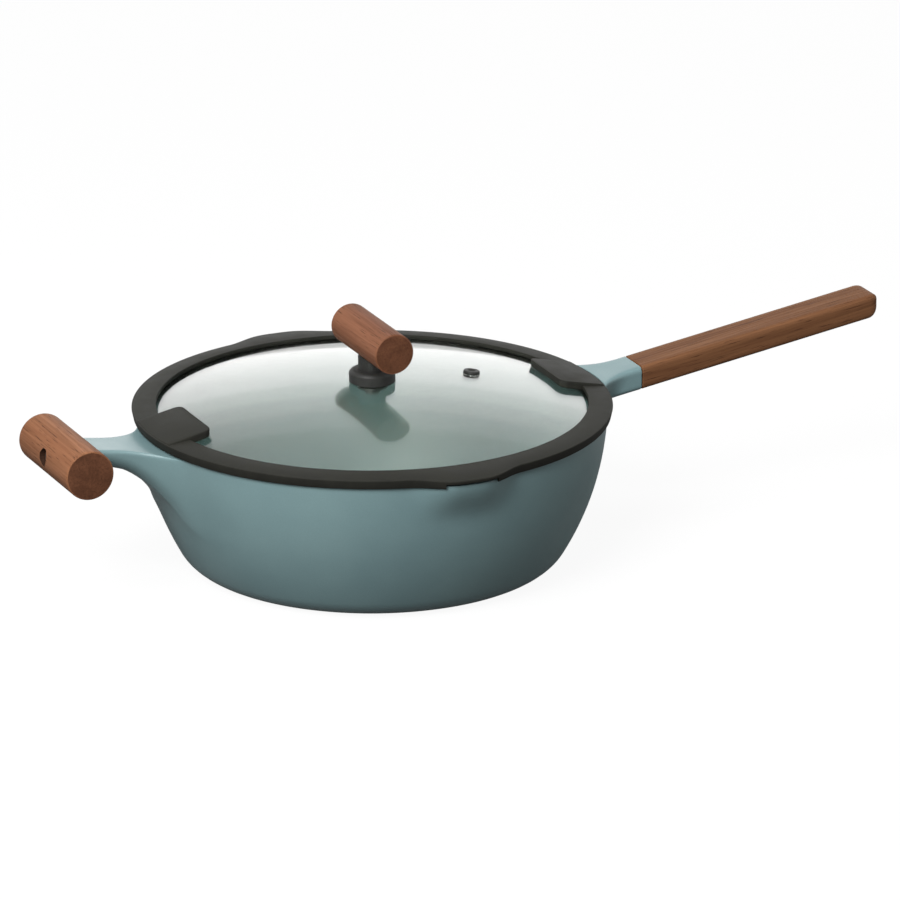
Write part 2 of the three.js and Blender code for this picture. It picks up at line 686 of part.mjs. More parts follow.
const coating = { color: 0x6f8c90, roughness: 0.45, metalness: 0.1 };
const walnut = { color: 0x7d543d, roughness: 0.6, metalness: 0 };
const steel = { color: 0xb4b6b5, roughness: 0.35, metalness: 1 };
const brass = { color: 0xb08d4a, roughness: 0.35, metalness: 1 };
const silicone = { color: 0x3b3b38, roughness: 0.75, metalness: 0 };
const blackPlastic = { color: 0x232423, roughness: 0.4, metalness: 0 };
const glass = { color: 0xdfe6e4, roughness: 0.05, metalness: 0, transparent: true, opacity: 0.35 };

function piece(name, geometry, finish, height = 0) {
  const mesh = new THREE.Mesh(geometry, new THREE.MeshStandardMaterial(finish));
  mesh.name = name;
  mesh.position.z = height;
  return mesh;
}

// A group whose pieces are drawn in one of the tilted frames.
function placed(frame, ...pieces) {
  const group = new THREE.Group();
  frame.decompose(group.position, group.quaternion, group.scale);
  group.add(...pieces);
  return group;
}

const gripScrews = ["long_handle_screw_front", "long_handle_screw_rear"].map((name, i) => {
  const mesh = piece(name, gripScrew(), steel, GRIP_HEAD_Z);
  mesh.position.x = GRIP_SCREW_PLACES[i];
  return mesh;
});
const helperWasher = tube(HELPER_SCREW_RADIUS + FIT, HELPER_HEAD_RADIUS, 0, HELPER_WASHER_THICKNESS);

const pan = new THREE.Group();
pan.add(
  piece("pan_body", panBody(), coating),
  piece("induction_disc", rod(DISC_RADIUS, 0, DISC_THICKNESS, TURN_STEPS), steel),
  piece("long_handle_grip", longHandleGrip(), walnut),
  placed(handleFrame, ...gripScrews),
  piece("helper_grip", helperGrip(), walnut),
  placed(
    helperFrame,
    piece("helper_screw", helperScrew(), steel, HELPER_HEAD_Z),
    piece("helper_washer", helperWasher, steel, HELPER_WASHER_Z),
  ),
);

const upperGasket = tube(KNOB_BORE, GASKET_RADIUS, 0, GASKET_THICKNESS);
const lowerGasket = tube(KNOB_BORE, KNOB_WASHER_RADIUS, 0, GASKET_THICKNESS);
const knobWasher = tube(KNOB_BORE, KNOB_WASHER_RADIUS, 0, KNOB_WASHER_THICKNESS);
const knobInsert = tube(KNOB_BORE, INSERT_RADIUS, 0, INSERT_LENGTH);

const lid = new THREE.Group();
lid.add(
  piece("lid_rim", lidRim(), silicone),
  piece("lid_glass", lidGlass(), glass),
  placed(
    ventFrame,
    piece("vent_eyelet", ventEyelet(), blackPlastic),
    piece("vent_washer", ventWasher(), steel),
  ),
  piece("knob_post", knobPost(), blackPlastic),
  piece("knob_grip", knobGrip(), walnut),
  piece("knob_gasket_upper", upperGasket, silicone, UPPER_GASKET_Z),
  piece("knob_gasket_lower", lowerGasket, silicone, LOWER_GASKET_Z),
  piece("knob_washer", knobWasher, steel, KNOB_WASHER_Z),
  piece("knob_insert", knobInsert, brass, KNOB_BOTTOM + INSERT_SINK),
  piece("knob_screw", knobScrew(), steel, KNOB_HEAD_Z),
);

const fryingPan = new THREE.Group();
fryingPan.add(pan, lid);

export default fryingPan;
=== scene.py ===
from math import acos, asin, atan2, copysign, cos, degrees, hypot, pi, radians, sin, sqrt, tan
from types import SimpleNamespace

import bmesh
import bpy
from mathutils import Matrix, Vector


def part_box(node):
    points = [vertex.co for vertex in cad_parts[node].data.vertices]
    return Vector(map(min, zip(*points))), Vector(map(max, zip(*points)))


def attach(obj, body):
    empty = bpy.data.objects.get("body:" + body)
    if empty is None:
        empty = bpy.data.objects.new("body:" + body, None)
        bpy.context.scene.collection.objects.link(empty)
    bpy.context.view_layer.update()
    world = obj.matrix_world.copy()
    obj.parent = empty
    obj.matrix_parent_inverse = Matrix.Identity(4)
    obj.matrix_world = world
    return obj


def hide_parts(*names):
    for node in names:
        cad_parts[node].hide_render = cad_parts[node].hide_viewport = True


# The looks of a deep frying pan of coated cast aluminium, with walnut grips and a glass lid in a
# silicone rim. Metres, +Z up. The long handle runs along +X and the pouring spouts face +Y and -Y.

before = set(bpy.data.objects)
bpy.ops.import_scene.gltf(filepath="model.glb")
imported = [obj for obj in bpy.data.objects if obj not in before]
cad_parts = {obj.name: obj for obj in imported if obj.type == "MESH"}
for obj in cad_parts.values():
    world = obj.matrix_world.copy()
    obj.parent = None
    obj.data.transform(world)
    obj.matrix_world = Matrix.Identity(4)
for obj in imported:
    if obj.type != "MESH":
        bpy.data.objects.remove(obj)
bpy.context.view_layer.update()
scene = bpy.context.scene
scene.view_settings.view_transform = "Standard"

# Pan
FOOT_RADIUS = 0.0964
RIM_RADIUS = 0.1393
PAN_HEIGHT = 0.092
WALL = 0.003
PAN_FLOOR = 0.005
CORNER_RADIUS = 0.0223
CORNER_TURN = radians(59.5)
RIM_TURN = radians(87.4)
RIM_EASE = 0.0008
RIM_INSIDE = RIM_RADIUS - WALL
DISC_FIT = 0.0003

# Pouring spouts in the pan's rim, and the lips that follow them on the lid
SPOUT_BULGE = 0.0087
SPOUT_FLAT_ANGLE = radians(3)
SPOUT_HALF_ANGLE = radians(14.5)
SPOUT_FOOT = 0.066
LIP_BULGE = 0.0083
LIP_DROP = 0.0006
LIP_MARGIN = 0.0003

# Cast arms: where they leave the wall, and how their undersides sweep down to it
ROOT_Z = 0.042
SHELF_Z = 0.0897
ROOT_DEPTH = 0.0045
SWEEP_POWER = 1.95
SHELF_RADIUS = 0.1433
FLARE_BLEND = 0.4
ROOT_EASE_ROWS = 6
ROOT_EASE_PASSES = 3
ROOT_EASE_SHARE = 0.35

# Long handle
HANDLE_TILT = radians(9.4)
HANDLE_WIDTH = 0.026
HANDLE_THICKNESS = 0.0143
HANDLE_HALF = HANDLE_THICKNESS / cos(HANDLE_TILT) / 2
HANDLE_ROUND = 0.003
JOINT_X = 0.1702
JOINT_Z = 0.0929
STUB_STRAIGHT = 0.020
STUB_FILLET = 0.030
STUB_SLANT = 0.03
STUB_EASE = 0.0007
GRIP_GAP = 0.0003
GRIP_END_ROUND = 0.006
GRIP_END_TOP = 0.003
GRIP_END_SIDE = 0.004
TANG_LENGTH = 0.046
TANG_WIDTH = 0.013
TANG_HEIGHT = 0.0063
TANG_ROUND = 0.001
GRIP_BORE_RADIUS = 0.0038
GRIP_BORE_PLACES = (0.014, 0.034)
GRIP_BORE_DEPTH = 0.0025

# Helper handle
HELPER_FACE = 0.1793
ARM_TILT = radians(8.2)
ARM_WIDTH = 0.028
ARM_THICKNESS = 0.0115
ARM_HALF = ARM_THICKNESS / cos(ARM_TILT) / 2
ARM_ROUND = 0.002
ARM_BELLY = 0.009
ARM_STRAIGHT = 0.007
ARM_FILLET = 0.040
SADDLE_GAP = 0.0003
HELPER_SCREW_TILT = radians(6)
HELPER_BORE_RADIUS = 0.0051
HELPER_BORE_FLOOR = 0.006
HELPER_BORE_SLACK = 0.00003
DOWEL_EASE = 0.0008

# Lid
RING_RADIUS = 0.1425
SKIRT_INSIDE = 0.1399
SKIRT_Z = 0.0906
SKIRT_DRAFT = 0.0012
PLATE_Z = 0.0923
PLUG_RADIUS = 0.1358
PLUG_DRAFT = 0.001
PLUG_LIP = 0.0022
RING_TOP = 0.0978
RING_EDGE = 0.0960
RING_EASE = 0.0006
POUR_HALF_WIDTH = 0.0165
POUR_Z = 0.0935
PAD_INNER = 0.112
PAD_HALF_WIDTH = 0.0245
PAD_OUTER = 0.1417
PAD_CORNER = 0.005
PAD_LOW = 0.0961
PAD_HIGH = 0.1026
PAD_EASE = 0.0007
PAD_ROOT = 0.001
GLASS_GROOVE = 0.1332
GLASS_LIP = 0.1289
GLASS_FIT = 0.0003
OPENING_RADIUS = 0.1279
GLASS_THICKNESS = 0.004
GLASS_RISE = 0.0152
GLASS_SINK = 0.0029
GLASS_HOLE = 0.003
PAD_BOTTOM = PLATE_Z + GLASS_FIT

# Steam vent, with heights above the glass
VENT_REACH = 0.064
VENT_HOLE = 0.0035
VENT_BORE = 0.0013
VENT_SHANK = 0.0032
VENT_SEAT = 0.00015
VENT_FLANGE = 0.005
VENT_FLANGE_HEIGHT = 0.002
VENT_END = -0.0052

# Knob's post
GASKET_RECESS_RADIUS = 0.0123
GASKET_RECESS = 0.0007
COLLAR_RADIUS = 0.0138
COLLAR_HEIGHT = 0.0048
SHOULDER_RADIUS = 0.0104
SHOULDER_HEIGHT = 0.0026
NECK_RADIUS = 0.0084

# Screws: radius of the shank, length from under the head, radius and height of the head
GRIP_SCREW = (0.002, 0.0081, 0.0035, 0.0018)
GRIP_SCREW_Z = -0.00495
HELPER_SCREW = (0.0029, 0.03556, 0.0045, 0.004)
HELPER_SCREW_Z = -0.0074
KNOB_SCREW = (0.0024, 0.0304, 0.0045, 0.003)
SCREW_FIT = 0.0003
SCREW_EASE = 0.0003
SOCKET_SHARE = 0.55

# Washers: radius of the hole, outer radius, and heights of the two faces
HELPER_WASHER = (HELPER_SCREW[0] + SCREW_FIT, HELPER_SCREW[2], -0.0073, -0.0063)
VENT_WASHER = (VENT_HOLE, 0.0056, -0.0051, -0.0043)
WASHER_EASE = 0.00015

# Rings turned into the steel disc
DISC_GROOVES = (0.078, 0.066, 0.054, 0.042, 0.03, 0.018)
DISC_GROOVE_WIDTH = 0.0016
DISC_GROOVE_DEPTH = 0.0003

# Places and sizes read from the frame
helper_low, helper_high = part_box("helper_grip")
HELPER_PLACE = (helper_low + helper_high) / 2
HELPER_RADIUS = (helper_high.z - helper_low.z) / 2
HELPER_HALF_LENGTH = (helper_high.y - helper_low.y) / 2
knob_low, knob_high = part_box("knob_grip")
KNOB_PLACE = (knob_low + knob_high) / 2
KNOB_RADIUS = (knob_high.z - knob_low.z) / 2
KNOB_HALF_LENGTH = (knob_high.y - knob_low.y) / 2
GRIP_END_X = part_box("long_handle_grip")[1].x
GLASS_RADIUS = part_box("lid_glass")[1].x
DISC_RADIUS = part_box("induction_disc")[1].x
DISC_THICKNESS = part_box("induction_disc")[1].z

# The ball whose cap is the glass
GLASS_TOP = RING_TOP - GLASS_SINK + GLASS_RISE
DOME_RADIUS = (OPENING_RADIUS**2 + GLASS_RISE**2) / (2 * GLASS_RISE)
DOME_CENTRE = GLASS_TOP - DOME_RADIUS

# How finely shapes are cut: steps of a full turn, then rows, rings and cuts of each stretch
BOWL_STEPS = 190
LID_STEPS = 256
DOWEL_STEPS = 96
SMALL_STEPS = 48
SOCKET_SIDES = 6
CORNER_ROWS = 10
LOWER_ROWS = 7
INSIDE_ROWS = 18
ARM_ROWS = 14
ARM_RINGS = 16
STUB_ROOT_RINGS = 6
STUB_RINGS = 8
GRIP_COLUMNS = 16
GRIP_ROWS = 12
GRIP_RINGS = 12
GRIP_END_RINGS = 9
DOWEL_CUTS = 31
PAD_OUTER_CUTS = 23
PAD_CORNER_STEPS = 8
GLASS_RINGS = 24
GLASS_ROOM_RINGS = 12
SHOULDER_STEPS = 12
FLANGE_STEPS = 8

# Limits: what counts as the same place, as far off, as a sharp edge, and as facing one way
TINY = 1e-6
FAR = 1
SHARP_EDGE = radians(40)
SHARP_SHADE = radians(32)
LOOKS_UP = 0.9
LOOKS_ALONG = 0.99

# Camera, as the photograph was taken
CAMERA_PLACE = Vector((-1.758893, -4.133382, 1.584119))
CAMERA_AIM = Vector((0.379863, 0.867925, -0.320015))
CAMERA_LENS = 320
CAMERA_SENSOR = 36

# Lamps: azimuth, height as an angle, distance, width and height of the soft box, and watts
KEY_LAMP = (radians(-139), radians(40), 2.5, 1.2, 1.2, 88)
TOP_LAMP = (radians(-160), radians(80), 2.4, 1.2, 1.2, 18)
FILL_LAMP = (radians(-22), radians(20), 2.5, 1.6, 1.2, 8)
LAMP_AIM = Vector((0, 0, 0.06))

# Soft boxes behind the pan, and the world's and the floor's light
BACK_AZIMUTH = radians(66)
BACK_LOW = radians(2.4)
BACK_TOPS = (radians(21), radians(26), radians(31), radians(37))
BACK_DISTANCE = 2.4
BACK_WIDTH = 2.6
BACK_GLOW = 0.26
AMBIENT = 0.19
FLOOR_SIZE = 12
FLOOR_GAP = 0.0002
FLOOR_GREY = 0.12
FLOOR_WHITE = 0.95
FLOOR_GLOW = 0.93
FLOOR_GLOW_IN_GLOSS = 0.85
# Glow the floor keeps in gloss by the pan, where a painted shade stands for its shadow
FLOOR_GLOW_IN_PAINTED_SHADE = 0.08
SHADE_NEAR = 0.25
SHADE_FAR = 0.7

# Places of the share, the two colours and the result among a Mix node's sockets
MIX_SHARE = 0
MIX_FIRST = 6
MIX_SECOND = 7
MIX_RESULT = 2


def hold(name, data, place, aim):
    """Puts a camera or a lamp at a place in the scene, looking along aim."""
    holder = bpy.data.objects.new(name, data)
    holder.location = place
    holder.rotation_euler = aim.to_track_quat("-Z", "Y").to_euler()
    scene.collection.objects.link(holder)
    return holder


def make_camera():
    camera = bpy.data.cameras.new("camera")
    camera.lens = CAMERA_LENS
    camera.sensor_width = CAMERA_SENSOR
    camera.clip_start = 0.1
    camera.clip_end = 100
    scene.camera = hold("camera", camera, CAMERA_PLACE, CAMERA_AIM)


# Node helpers


def feed(tree, socket, value):
    """Links another node's output to a socket, or sets the socket to a plain value."""
    if isinstance(value, bpy.types.NodeSocket):
        tree.links.new(value, socket)
    else:
        socket.default_value = value


def set_inputs(tree, node, inputs):
    for name, value in inputs.items():
        feed(tree, node.inputs[name], value)


def add_node(tree, kind, inputs=None, **options):
    made = tree.nodes.new(kind)
    for name, value in options.items():
        setattr(made, name, value)
    set_inputs(tree, made, inputs or {})
    return made


def linear(red, green, blue):
    """A colour written in 0 to 255 as the shader's linear colour."""
    shares = [value / 255 for value in (red, green, blue)]
    return [s / 12.92 if s <= 0.04045 else ((s + 0.055) / 1.055) ** 2.4 for s in shares] + [1.0]


def grey(level):
    return [level] * 3 + [1.0]


def new_material(name):
    material = bpy.data.materials.new(name)
    material.use_nodes = True
    tree = material.node_tree
    return material, tree, tree.nodes["Principled BSDF"]


def place_pattern(tree, stretch=(1, 1, 1), turn=(0, 0, 0), shift=(0, 0, 0)):
    """The piece's own coordinates, turned and then stretched for a pattern."""
    here = add_node(tree, "ShaderNodeTexCoord").outputs["Object"]
    inputs = {"Rotation": turn, "Location": shift, "Vector": here}
    rotated = add_node(tree, "ShaderNodeMapping", inputs).outputs["Vector"]
    inputs = {"Scale": stretch, "Vector": rotated}
    return add_node(tree, "ShaderNodeMapping", inputs).outputs["Vector"]


def noise(tree, place, scale, detail=3.0, roughness=0.5, distortion=0.0):
    inputs = {"Vector": place, "Scale": scale, "Detail": detail}
    inputs |= {"Roughness": roughness, "Distortion": distortion}
    return add_node(tree, "ShaderNodeTexNoise", inputs).outputs["Fac"]


def ramp(tree, factor, first, last):
    """A colour ramp over a pattern. Its two stops are each a place and a colour."""
    made = add_node(tree, "ShaderNodeValToRGB", {"Fac": factor})
    for element, (place, colour) in zip(made.color_ramp.elements, (first, last)):
        element.position = place
        element.color = colour
    return made.outputs["Color"]


def grey_ramp(tree, factor, *stops):
    return ramp(tree, factor, *[(place, grey(level)) for place, level in stops])


def mix_colour(tree, share, first, second, blend="MIX"):
    made = add_node(tree, "ShaderNodeMix", data_type="RGBA", blend_type=blend)
    feed(tree, made.inputs[MIX_SHARE], share)
    feed(tree, made.inputs[MIX_FIRST], first)
    feed(tree, made.inputs[MIX_SECOND], second)
    return made.outputs[MIX_RESULT]


def mix_shaders(tree, share, first, second):
    made = add_node(tree, "ShaderNodeMixShader", {"Fac": share})
    tree.links.new(first.outputs[0], made.inputs[1])
    tree.links.new(second.outputs[0], made.inputs[2])
    return made


def show(tree, shader):
    """Makes a shader the material's surface."""
    tree.links.new(shader.outputs[0], tree.nodes["Material Output"].inputs["Surface"])


def bump(tree, shader, height, depth, strength):
    inputs = {"Height": height, "Distance": depth, "Strength": strength}
    made = add_node(tree, "ShaderNodeBump", inputs)
    tree.links.new(made.outputs["Normal"], shader.inputs["Normal"])


# Finishes


HANDLE_TONES = (linear(129, 90, 61), linear(91, 58, 38))
HELPER_TONES = (linear(149, 103, 74), linear(111, 71, 48))
KNOB_TONES = (linear(127, 85, 63), linear(94, 58, 41))
END_GRAIN_TONES = (linear(102, 66, 47), linear(74, 46, 32))
# The bore's darker walnut is painted shade inside the helper's screw hole
BORE_PAINTED_SHADE_TONES = (linear(58, 37, 27), linear(42, 27, 20))
PORE_TONE = linear(64, 39, 26)
STEEL_TONES = (linear(196, 197, 195), linear(160, 161, 160))
BLACK_STEEL_TONES = (linear(62, 62, 60), linear(42, 42, 41))
BRASS_TONES = (linear(205, 172, 104), linear(172, 136, 74))
HANDLE_TURN = (0, HANDLE_TILT, 0)
DOWEL_TURN = (0, 0, pi / 2)


def satin_coating():
    """Teal nonstick coating: satin, with a faint cloudiness, fine speckle and orange peel."""
    material, tree, shader = new_material("satin_coating")
    clouds = noise(tree, place_pattern(tree), scale=14, roughness=0.55)
    tone = ramp(tree, clouds, (0.3, linear(102, 127, 130)), (0.7, linear(111, 136, 138)))
    specks = noise(tree, place_pattern(tree), scale=1400, detail=2)
    speckle = grey_ramp(tree, specks, (0.35, 0.9), (0.65, 1.0))
    colour = mix_colour(tree, 0.5, tone, speckle, "MULTIPLY")
    patches = noise(tree, place_pattern(tree), scale=60, detail=4)
    rough = grey_ramp(tree, patches, (0.3, 0.33), (0.7, 0.41))
    set_inputs(tree, shader, {"Base Color": colour, "Roughness": rough, "Specular IOR Level": 0.42})
    peel = noise(tree, place_pattern(tree), scale=420, detail=2)
    bump(tree, shader, peel, depth=0.0001, strength=0.12)
    return material


def walnut(name, tones, turn, shift):
    """Oiled walnut in a light and a dark tone, whose grain runs along the turned X axis."""
    material, tree, shader = new_material(name)
    figure_place = place_pattern(tree, (5, 70, 70), turn, shift)
    figure = noise(tree, figure_place, scale=1.0, detail=4, roughness=0.6, distortion=0.6)
    fibre_place = place_pattern(tree, (14, 620, 620), turn, shift)
    fibres = noise(tree, fibre_place, scale=1.0, detail=5, roughness=0.65)
    pore_place = place_pattern(tree, (60, 1500, 1500), turn, shift)
    pores = noise(tree, pore_place, scale=1.0, detail=2)
    light, dark = tones
    tone = ramp(tree, figure, (0.28, dark), (0.72, light))
    streaks = grey_ramp(tree, fibres, (0.3, 0.66), (0.62, 1.05))
    streaked = mix_colour(tree, 0.8, tone, streaks, "MULTIPLY")
    opened = grey_ramp(tree, pores, (0.3, 1.0), (0.38, 0.0))
    colour = mix_colour(tree, opened, streaked, PORE_TONE)
    rough = grey_ramp(tree, fibres, (0.3, 0.68), (0.7, 0.5))
    set_inputs(tree, shader, {"Base Color": colour, "Roughness": rough, "Specular IOR Level": 0.08})
    bump(tree, shader, fibres, depth=0.00015, strength=0.35)
    return material


def silicone():
    """Matt black silicone with a fine dusty grain."""
    material, tree, shader = new_material("silicone")
    dust = noise(tree, place_pattern(tree), scale=90, detail=5, roughness=0.6)
    tone = ramp(tree, dust, (0.3, linear(34, 34, 31)), (0.7, linear(40, 40, 36)))
    rough = grey_ramp(tree, dust, (0.3, 0.52), (0.7, 0.62))
    set_inputs(tree, shader, {"Base Color": tone, "Roughness": rough, "Specular IOR Level": 0.05})
    grain = noise(tree, place_pattern(tree), scale=2200, detail=2)
    bump(tree, shader, grain, depth=0.00008, strength=0.25)
    return material


def black_plastic():
    """Moulded black plastic with a fine spark-eroded grain."""
    material, tree, shader = new_material("black_plastic")
    mottle = noise(tree, place_pattern(tree), scale=260, detail=4)
    tone = ramp(tree, mottle, (0.3, linear(29, 29, 28)), (0.7, linear(36, 36, 34)))
    rough = grey_ramp(tree, mottle, (0.3, 0.46), (0.7, 0.58))
    set_inputs(tree, shader, {"Base Color": tone, "Roughness": rough, "Specular IOR Level": 0.25})
    grain = noise(tree, place_pattern(tree), scale=2600, detail=2)
    bump(tree, shader, grain, depth=0.00006, strength=0.3)
    return material


def lid_glass_finish():
    """Clear tempered glass with a trace of green and a light haze. Lamps shine through it dimmed to
    about half, a painted shade on the pan's inside.
    """
    material, tree, shader = new_material("tempered_glass")
    haze = noise(tree, place_pattern(tree), scale=30, detail=4)
    rough = grey_ramp(tree, haze, (0.3, 0.06), (0.7, 0.11))
    tint = ramp(tree, haze, (0.3, linear(208, 211, 205)), (0.7, linear(212, 214, 209)))
    set_inputs(tree, shader, {"Base Color": tint, "Roughness": rough})
    set_inputs(tree, shader, {"Transmission Weight": 1.0, "IOR": 1.5})
    shadow_ray = add_node(tree, "ShaderNodeLightPath").outputs["Is Shadow Ray"]
    # Shadow rays pass at about half: painted shade that darkens the pan's inside under the glass
    clear = add_node(tree, "ShaderNodeBsdfTransparent", {"Color": linear(190, 198, 193)})
    show(tree, mix_shaders(tree, shadow_ray, shader, clear))
    return material


def bright_metal(name, tones):
    """Turned metal in a light and a dark tone, with fine tool marks."""
    material, tree, shader = new_material(name)
    mark_place = place_pattern(tree, (1, 1, 14))
    marks = noise(tree, mark_place, scale=220, detail=5, roughness=0.65)
    light, dark = tones
    tone = ramp(tree, marks, (0.3, dark), (0.7, light))
    rough = grey_ramp(tree, marks, (0.3, 0.42), (0.7, 0.26))
    set_inputs(tree, shader, {"Base Color": tone, "Roughness": rough, "Metallic": 1.0})
    bump(tree, shader, marks, depth=0.00005, strength=0.2)
    return material


def turned_steel():
    """Steel faced on a lathe: fine rings about the Z axis."""
    material, tree, shader = new_material("turned_steel")
    wave = add_node(tree, "ShaderNodeTexWave", wave_type="RINGS", rings_direction="Z")
    set_inputs(tree, wave, {"Vector": place_pattern(tree), "Scale": 420, "Distortion": 1.2})
    set_inputs(tree, wave, {"Detail": 2.0, "Detail Scale": 2.0})
    rings = wave.outputs["Fac"]
    stain = noise(tree, place_pattern(tree), scale=40, detail=4)
    tone = ramp(tree, stain, (0.3, linear(176, 178, 177)), (0.7, linear(194, 195, 193)))
    rough = grey_ramp(tree, rings, (0.2, 0.44), (0.8, 0.3))
    set_inputs(tree, shader, {"Base Color": tone, "Roughness": rough, "Metallic": 1.0})
    bump(tree, shader, rings, depth=0.00005, strength=0.35)
    return material


# Mesh helpers


def face_outwards(bm):
    bmesh.ops.recalc_face_normals(bm, faces=bm.faces)


def turned(outline, steps, axis=(0, 0, 1), closed=True):
    """Turns an outline of radius and height about an axis. A closed outline is that of a ring."""
    bm = bmesh.new()
    along = Vector(axis)
    verts = [bm.verts.new(Vector((radius, 0, 0)) + along * height) for radius, height in outline]
    pairs = list(zip(verts, verts[1:]))
    if closed:
        pairs.append((verts[-1], verts[0]))
    edges = [bm.edges.new(pair) for pair in pairs]
    bmesh.ops.spin(bm, geom=verts + edges, axis=along, angle=2 * pi, steps=steps, use_merge=True)
    bmesh.ops.remove_doubles(bm, verts=bm.verts, dist=TINY)
    face_outwards(bm)
    return bm


def bevel(bm, geom, width, segments=3, affect="EDGES"):
    bmesh.ops.bevel(
        bm,
        geom=geom,
        offset=width,
        segments=segments,
        profile=0.5,
        affect=affect,
        material=-1,
        clamp_overlap=True,
    )


def sharp_edges(bm):
    return [e for e in bm.edges if len(e.link_faces) == 2 and e.calc_face_angle() > SHARP_EDGE]


def new_object(name, bm):
    mesh = bpy.data.meshes.new(name)
    bm.to_mesh(mesh)
    bm.free()
    made = bpy.data.objects.new(name, mesh)
    scene.collection.objects.link(made)
    return made


def carved(bm, *tools, operation="DIFFERENCE"):
    """The shape with the tools cut out of it, or joined to it."""
    body = new_object("body", bm)
    cutters = [new_object("tool", tool) for tool in tools]
    for cutter in cutters:
        step = body.modifiers.new("carve", "BOOLEAN")
        step.object = cutter
        step.operation = operation
        step.solver = "EXACT"
    graph = bpy.context.evaluated_depsgraph_get()
    mesh = bpy.data.meshes.new_from_object(body.evaluated_get(graph))
    made = bmesh.new()
    made.from_mesh(mesh)
    bmesh.ops.remove_doubles(made, verts=made.verts, dist=TINY)
    for used in [body, *cutters]:
        bpy.data.meshes.remove(used.data)
    bpy.data.meshes.remove(mesh)
    return made


def rod(radius, low, high, steps=SMALL_STEPS):
    bm = bmesh.new()
    bmesh.ops.create_cone(
        bm, cap_ends=True, segments=steps, radius1=radius, radius2=radius, depth=high - low
    )
    bmesh.ops.translate(bm, verts=bm.verts, vec=(0, 0, (low + high) / 2))
    return bm


def moved(bm, matrix):
    bmesh.ops.transform(bm, matrix=matrix, verts=bm.verts)
    return bm


def piece(name, bm, body, slot, nodes, *materials):
    """Makes a finished piece that stands for its nodes and rides on a body."""
    made = new_object(name, bm)
    for material in materials:
        made.data.materials.append(material)
    made.data.shade_smooth()
    made.data.set_sharp_from_angle(angle=SHARP_SHADE)
    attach(made, body)
    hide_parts(*nodes)
    return made


# Shapes shared by several pieces


def corner_points(flat_radius, flat_z, corner_radius):
    turns = [CORNER_TURN * i / CORNER_ROWS for i in range(CORNER_ROWS + 1)]
    return [
        (flat_radius + corner_radius * sin(turn), flat_z + corner_radius * (1 - cos(turn)))
        for turn in turns
    ]


def wall_curve(flat_radius, flat_z, corner_radius, rim_radius):
    """Start, bend and end of the curve that runs from the pan's round corner up to its rim."""
    start = Vector(corner_points(flat_radius, flat_z, corner_radius)[-1])
    rim = Vector((rim_radius, PAN_HEIGHT))
    low = Vector((cos(CORNER_TURN), sin(CORNER_TURN)))
    high = Vector((cos(RIM_TURN), sin(RIM_TURN)))
    reach = (rim - start).cross(high) / low.cross(high)
    return start, start + low * reach, rim


def curve_radius(curve, z):
    """Radius of a wall curve at a height."""
    start, bend, end = curve
    square = start.y - 2 * bend.y + end.y
    slope = 2 * (bend.y - start.y)
    rise = z - start.y
    t = 2 * rise / (slope + sqrt(slope**2 + 4 * square * rise))
    return (1 - t) ** 2 * start.x + 2 * t * (1 - t) * bend.x + t**2 * end.x


OUTSIDE = wall_curve(FOOT_RADIUS, 0, CORNER_RADIUS, RIM_RADIUS)
INSIDE_FLOOR = FOOT_RADIUS + (PAN_FLOOR - WALL) / tan(CORNER_TURN)
INSIDE = wall_curve(INSIDE_FLOOR, PAN_FLOOR, CORNER_RADIUS - WALL, RIM_INSIDE)


def smooth_step(value, low, high):
    share = min(max((value - low) / (high - low), 0), 1)
    return share * share * (3 - 2 * share)


def quarter_turn(count):
    """The angles of a quarter of a turn in equal steps."""
    return [pi / 2 * i / count for i in range(count + 1)]


def push_spouts(bm, bulge, innermost, lift=lambda z: 1, drop=0.0, drop_from=0.0):
    """Pushes the points near +Y and -Y outwards. lift gives the share of the push at a height.
    What lies above a further height may drop as well."""
    for vert in bm.verts:
        radius = hypot(vert.co.x, vert.co.y)
        aside = abs(abs(atan2(vert.co.y, vert.co.x)) - pi / 2)
        if radius < innermost or aside > SPOUT_HALF_ANGLE:
            continue
        across = 1 - smooth_step(aside, SPOUT_FLAT_ANGLE, SPOUT_HALF_ANGLE)
        stretch = 1 + bulge * across * lift(vert.co.z) / radius
        vert.co.x *= stretch
        vert.co.y *= stretch
        if vert.co.z > drop_from:
            vert.co.z -= drop * across


def dome_height(radius, r):
    return DOME_CENTRE + sqrt(radius**2 - r**2)


def tilted(place, turn):
    """A frame at a place, turned about the Y axis."""
    return Matrix.Translation(place) @ Matrix.Rotation(turn, 4, "Y")


HANDLE_FRAME = tilted((JOINT_X, 0, JOINT_Z), -HANDLE_TILT)
HELPER_FRAME = tilted(HELPER_PLACE, pi / 2 + HELPER_SCREW_TILT)
VENT_FRAME = tilted(
    (VENT_REACH, 0, dome_height(DOME_RADIUS, VENT_REACH)), asin(VENT_REACH / DOME_RADIUS)
)


# Pan body: the bowl


def row_share(share):
    """Draws rows together towards the upper and the lower edge."""
    return (1 - cos(pi * share)) / 2


def patch_height(up):
    """The height at a share of the patch of wall that an arm grows from."""
    return ROOT_Z + (SHELF_Z - ROOT_Z) * up


def outside_points():
    """The bowl's outline from the seat of the steel disc up to the rim."""
    seat_radius = DISC_RADIUS + DISC_FIT
    corner_top = OUTSIDE[0].y
    heights = [corner_top + (ROOT_Z - corner_top) * i / LOWER_ROWS for i in range(1, LOWER_ROWS)]
    heights += [patch_height(row_share(i / ARM_ROWS)) for i in range(ARM_ROWS + 1)]
    points = [(0, DISC_THICKNESS), (seat_radius, DISC_THICKNESS), (seat_radius, 0)]
    points += corner_points(FOOT_RADIUS, 0, CORNER_RADIUS)
    points += [(curve_radius(OUTSIDE, z), z) for z in heights]
    return points + [(RIM_RADIUS, PAN_HEIGHT)]


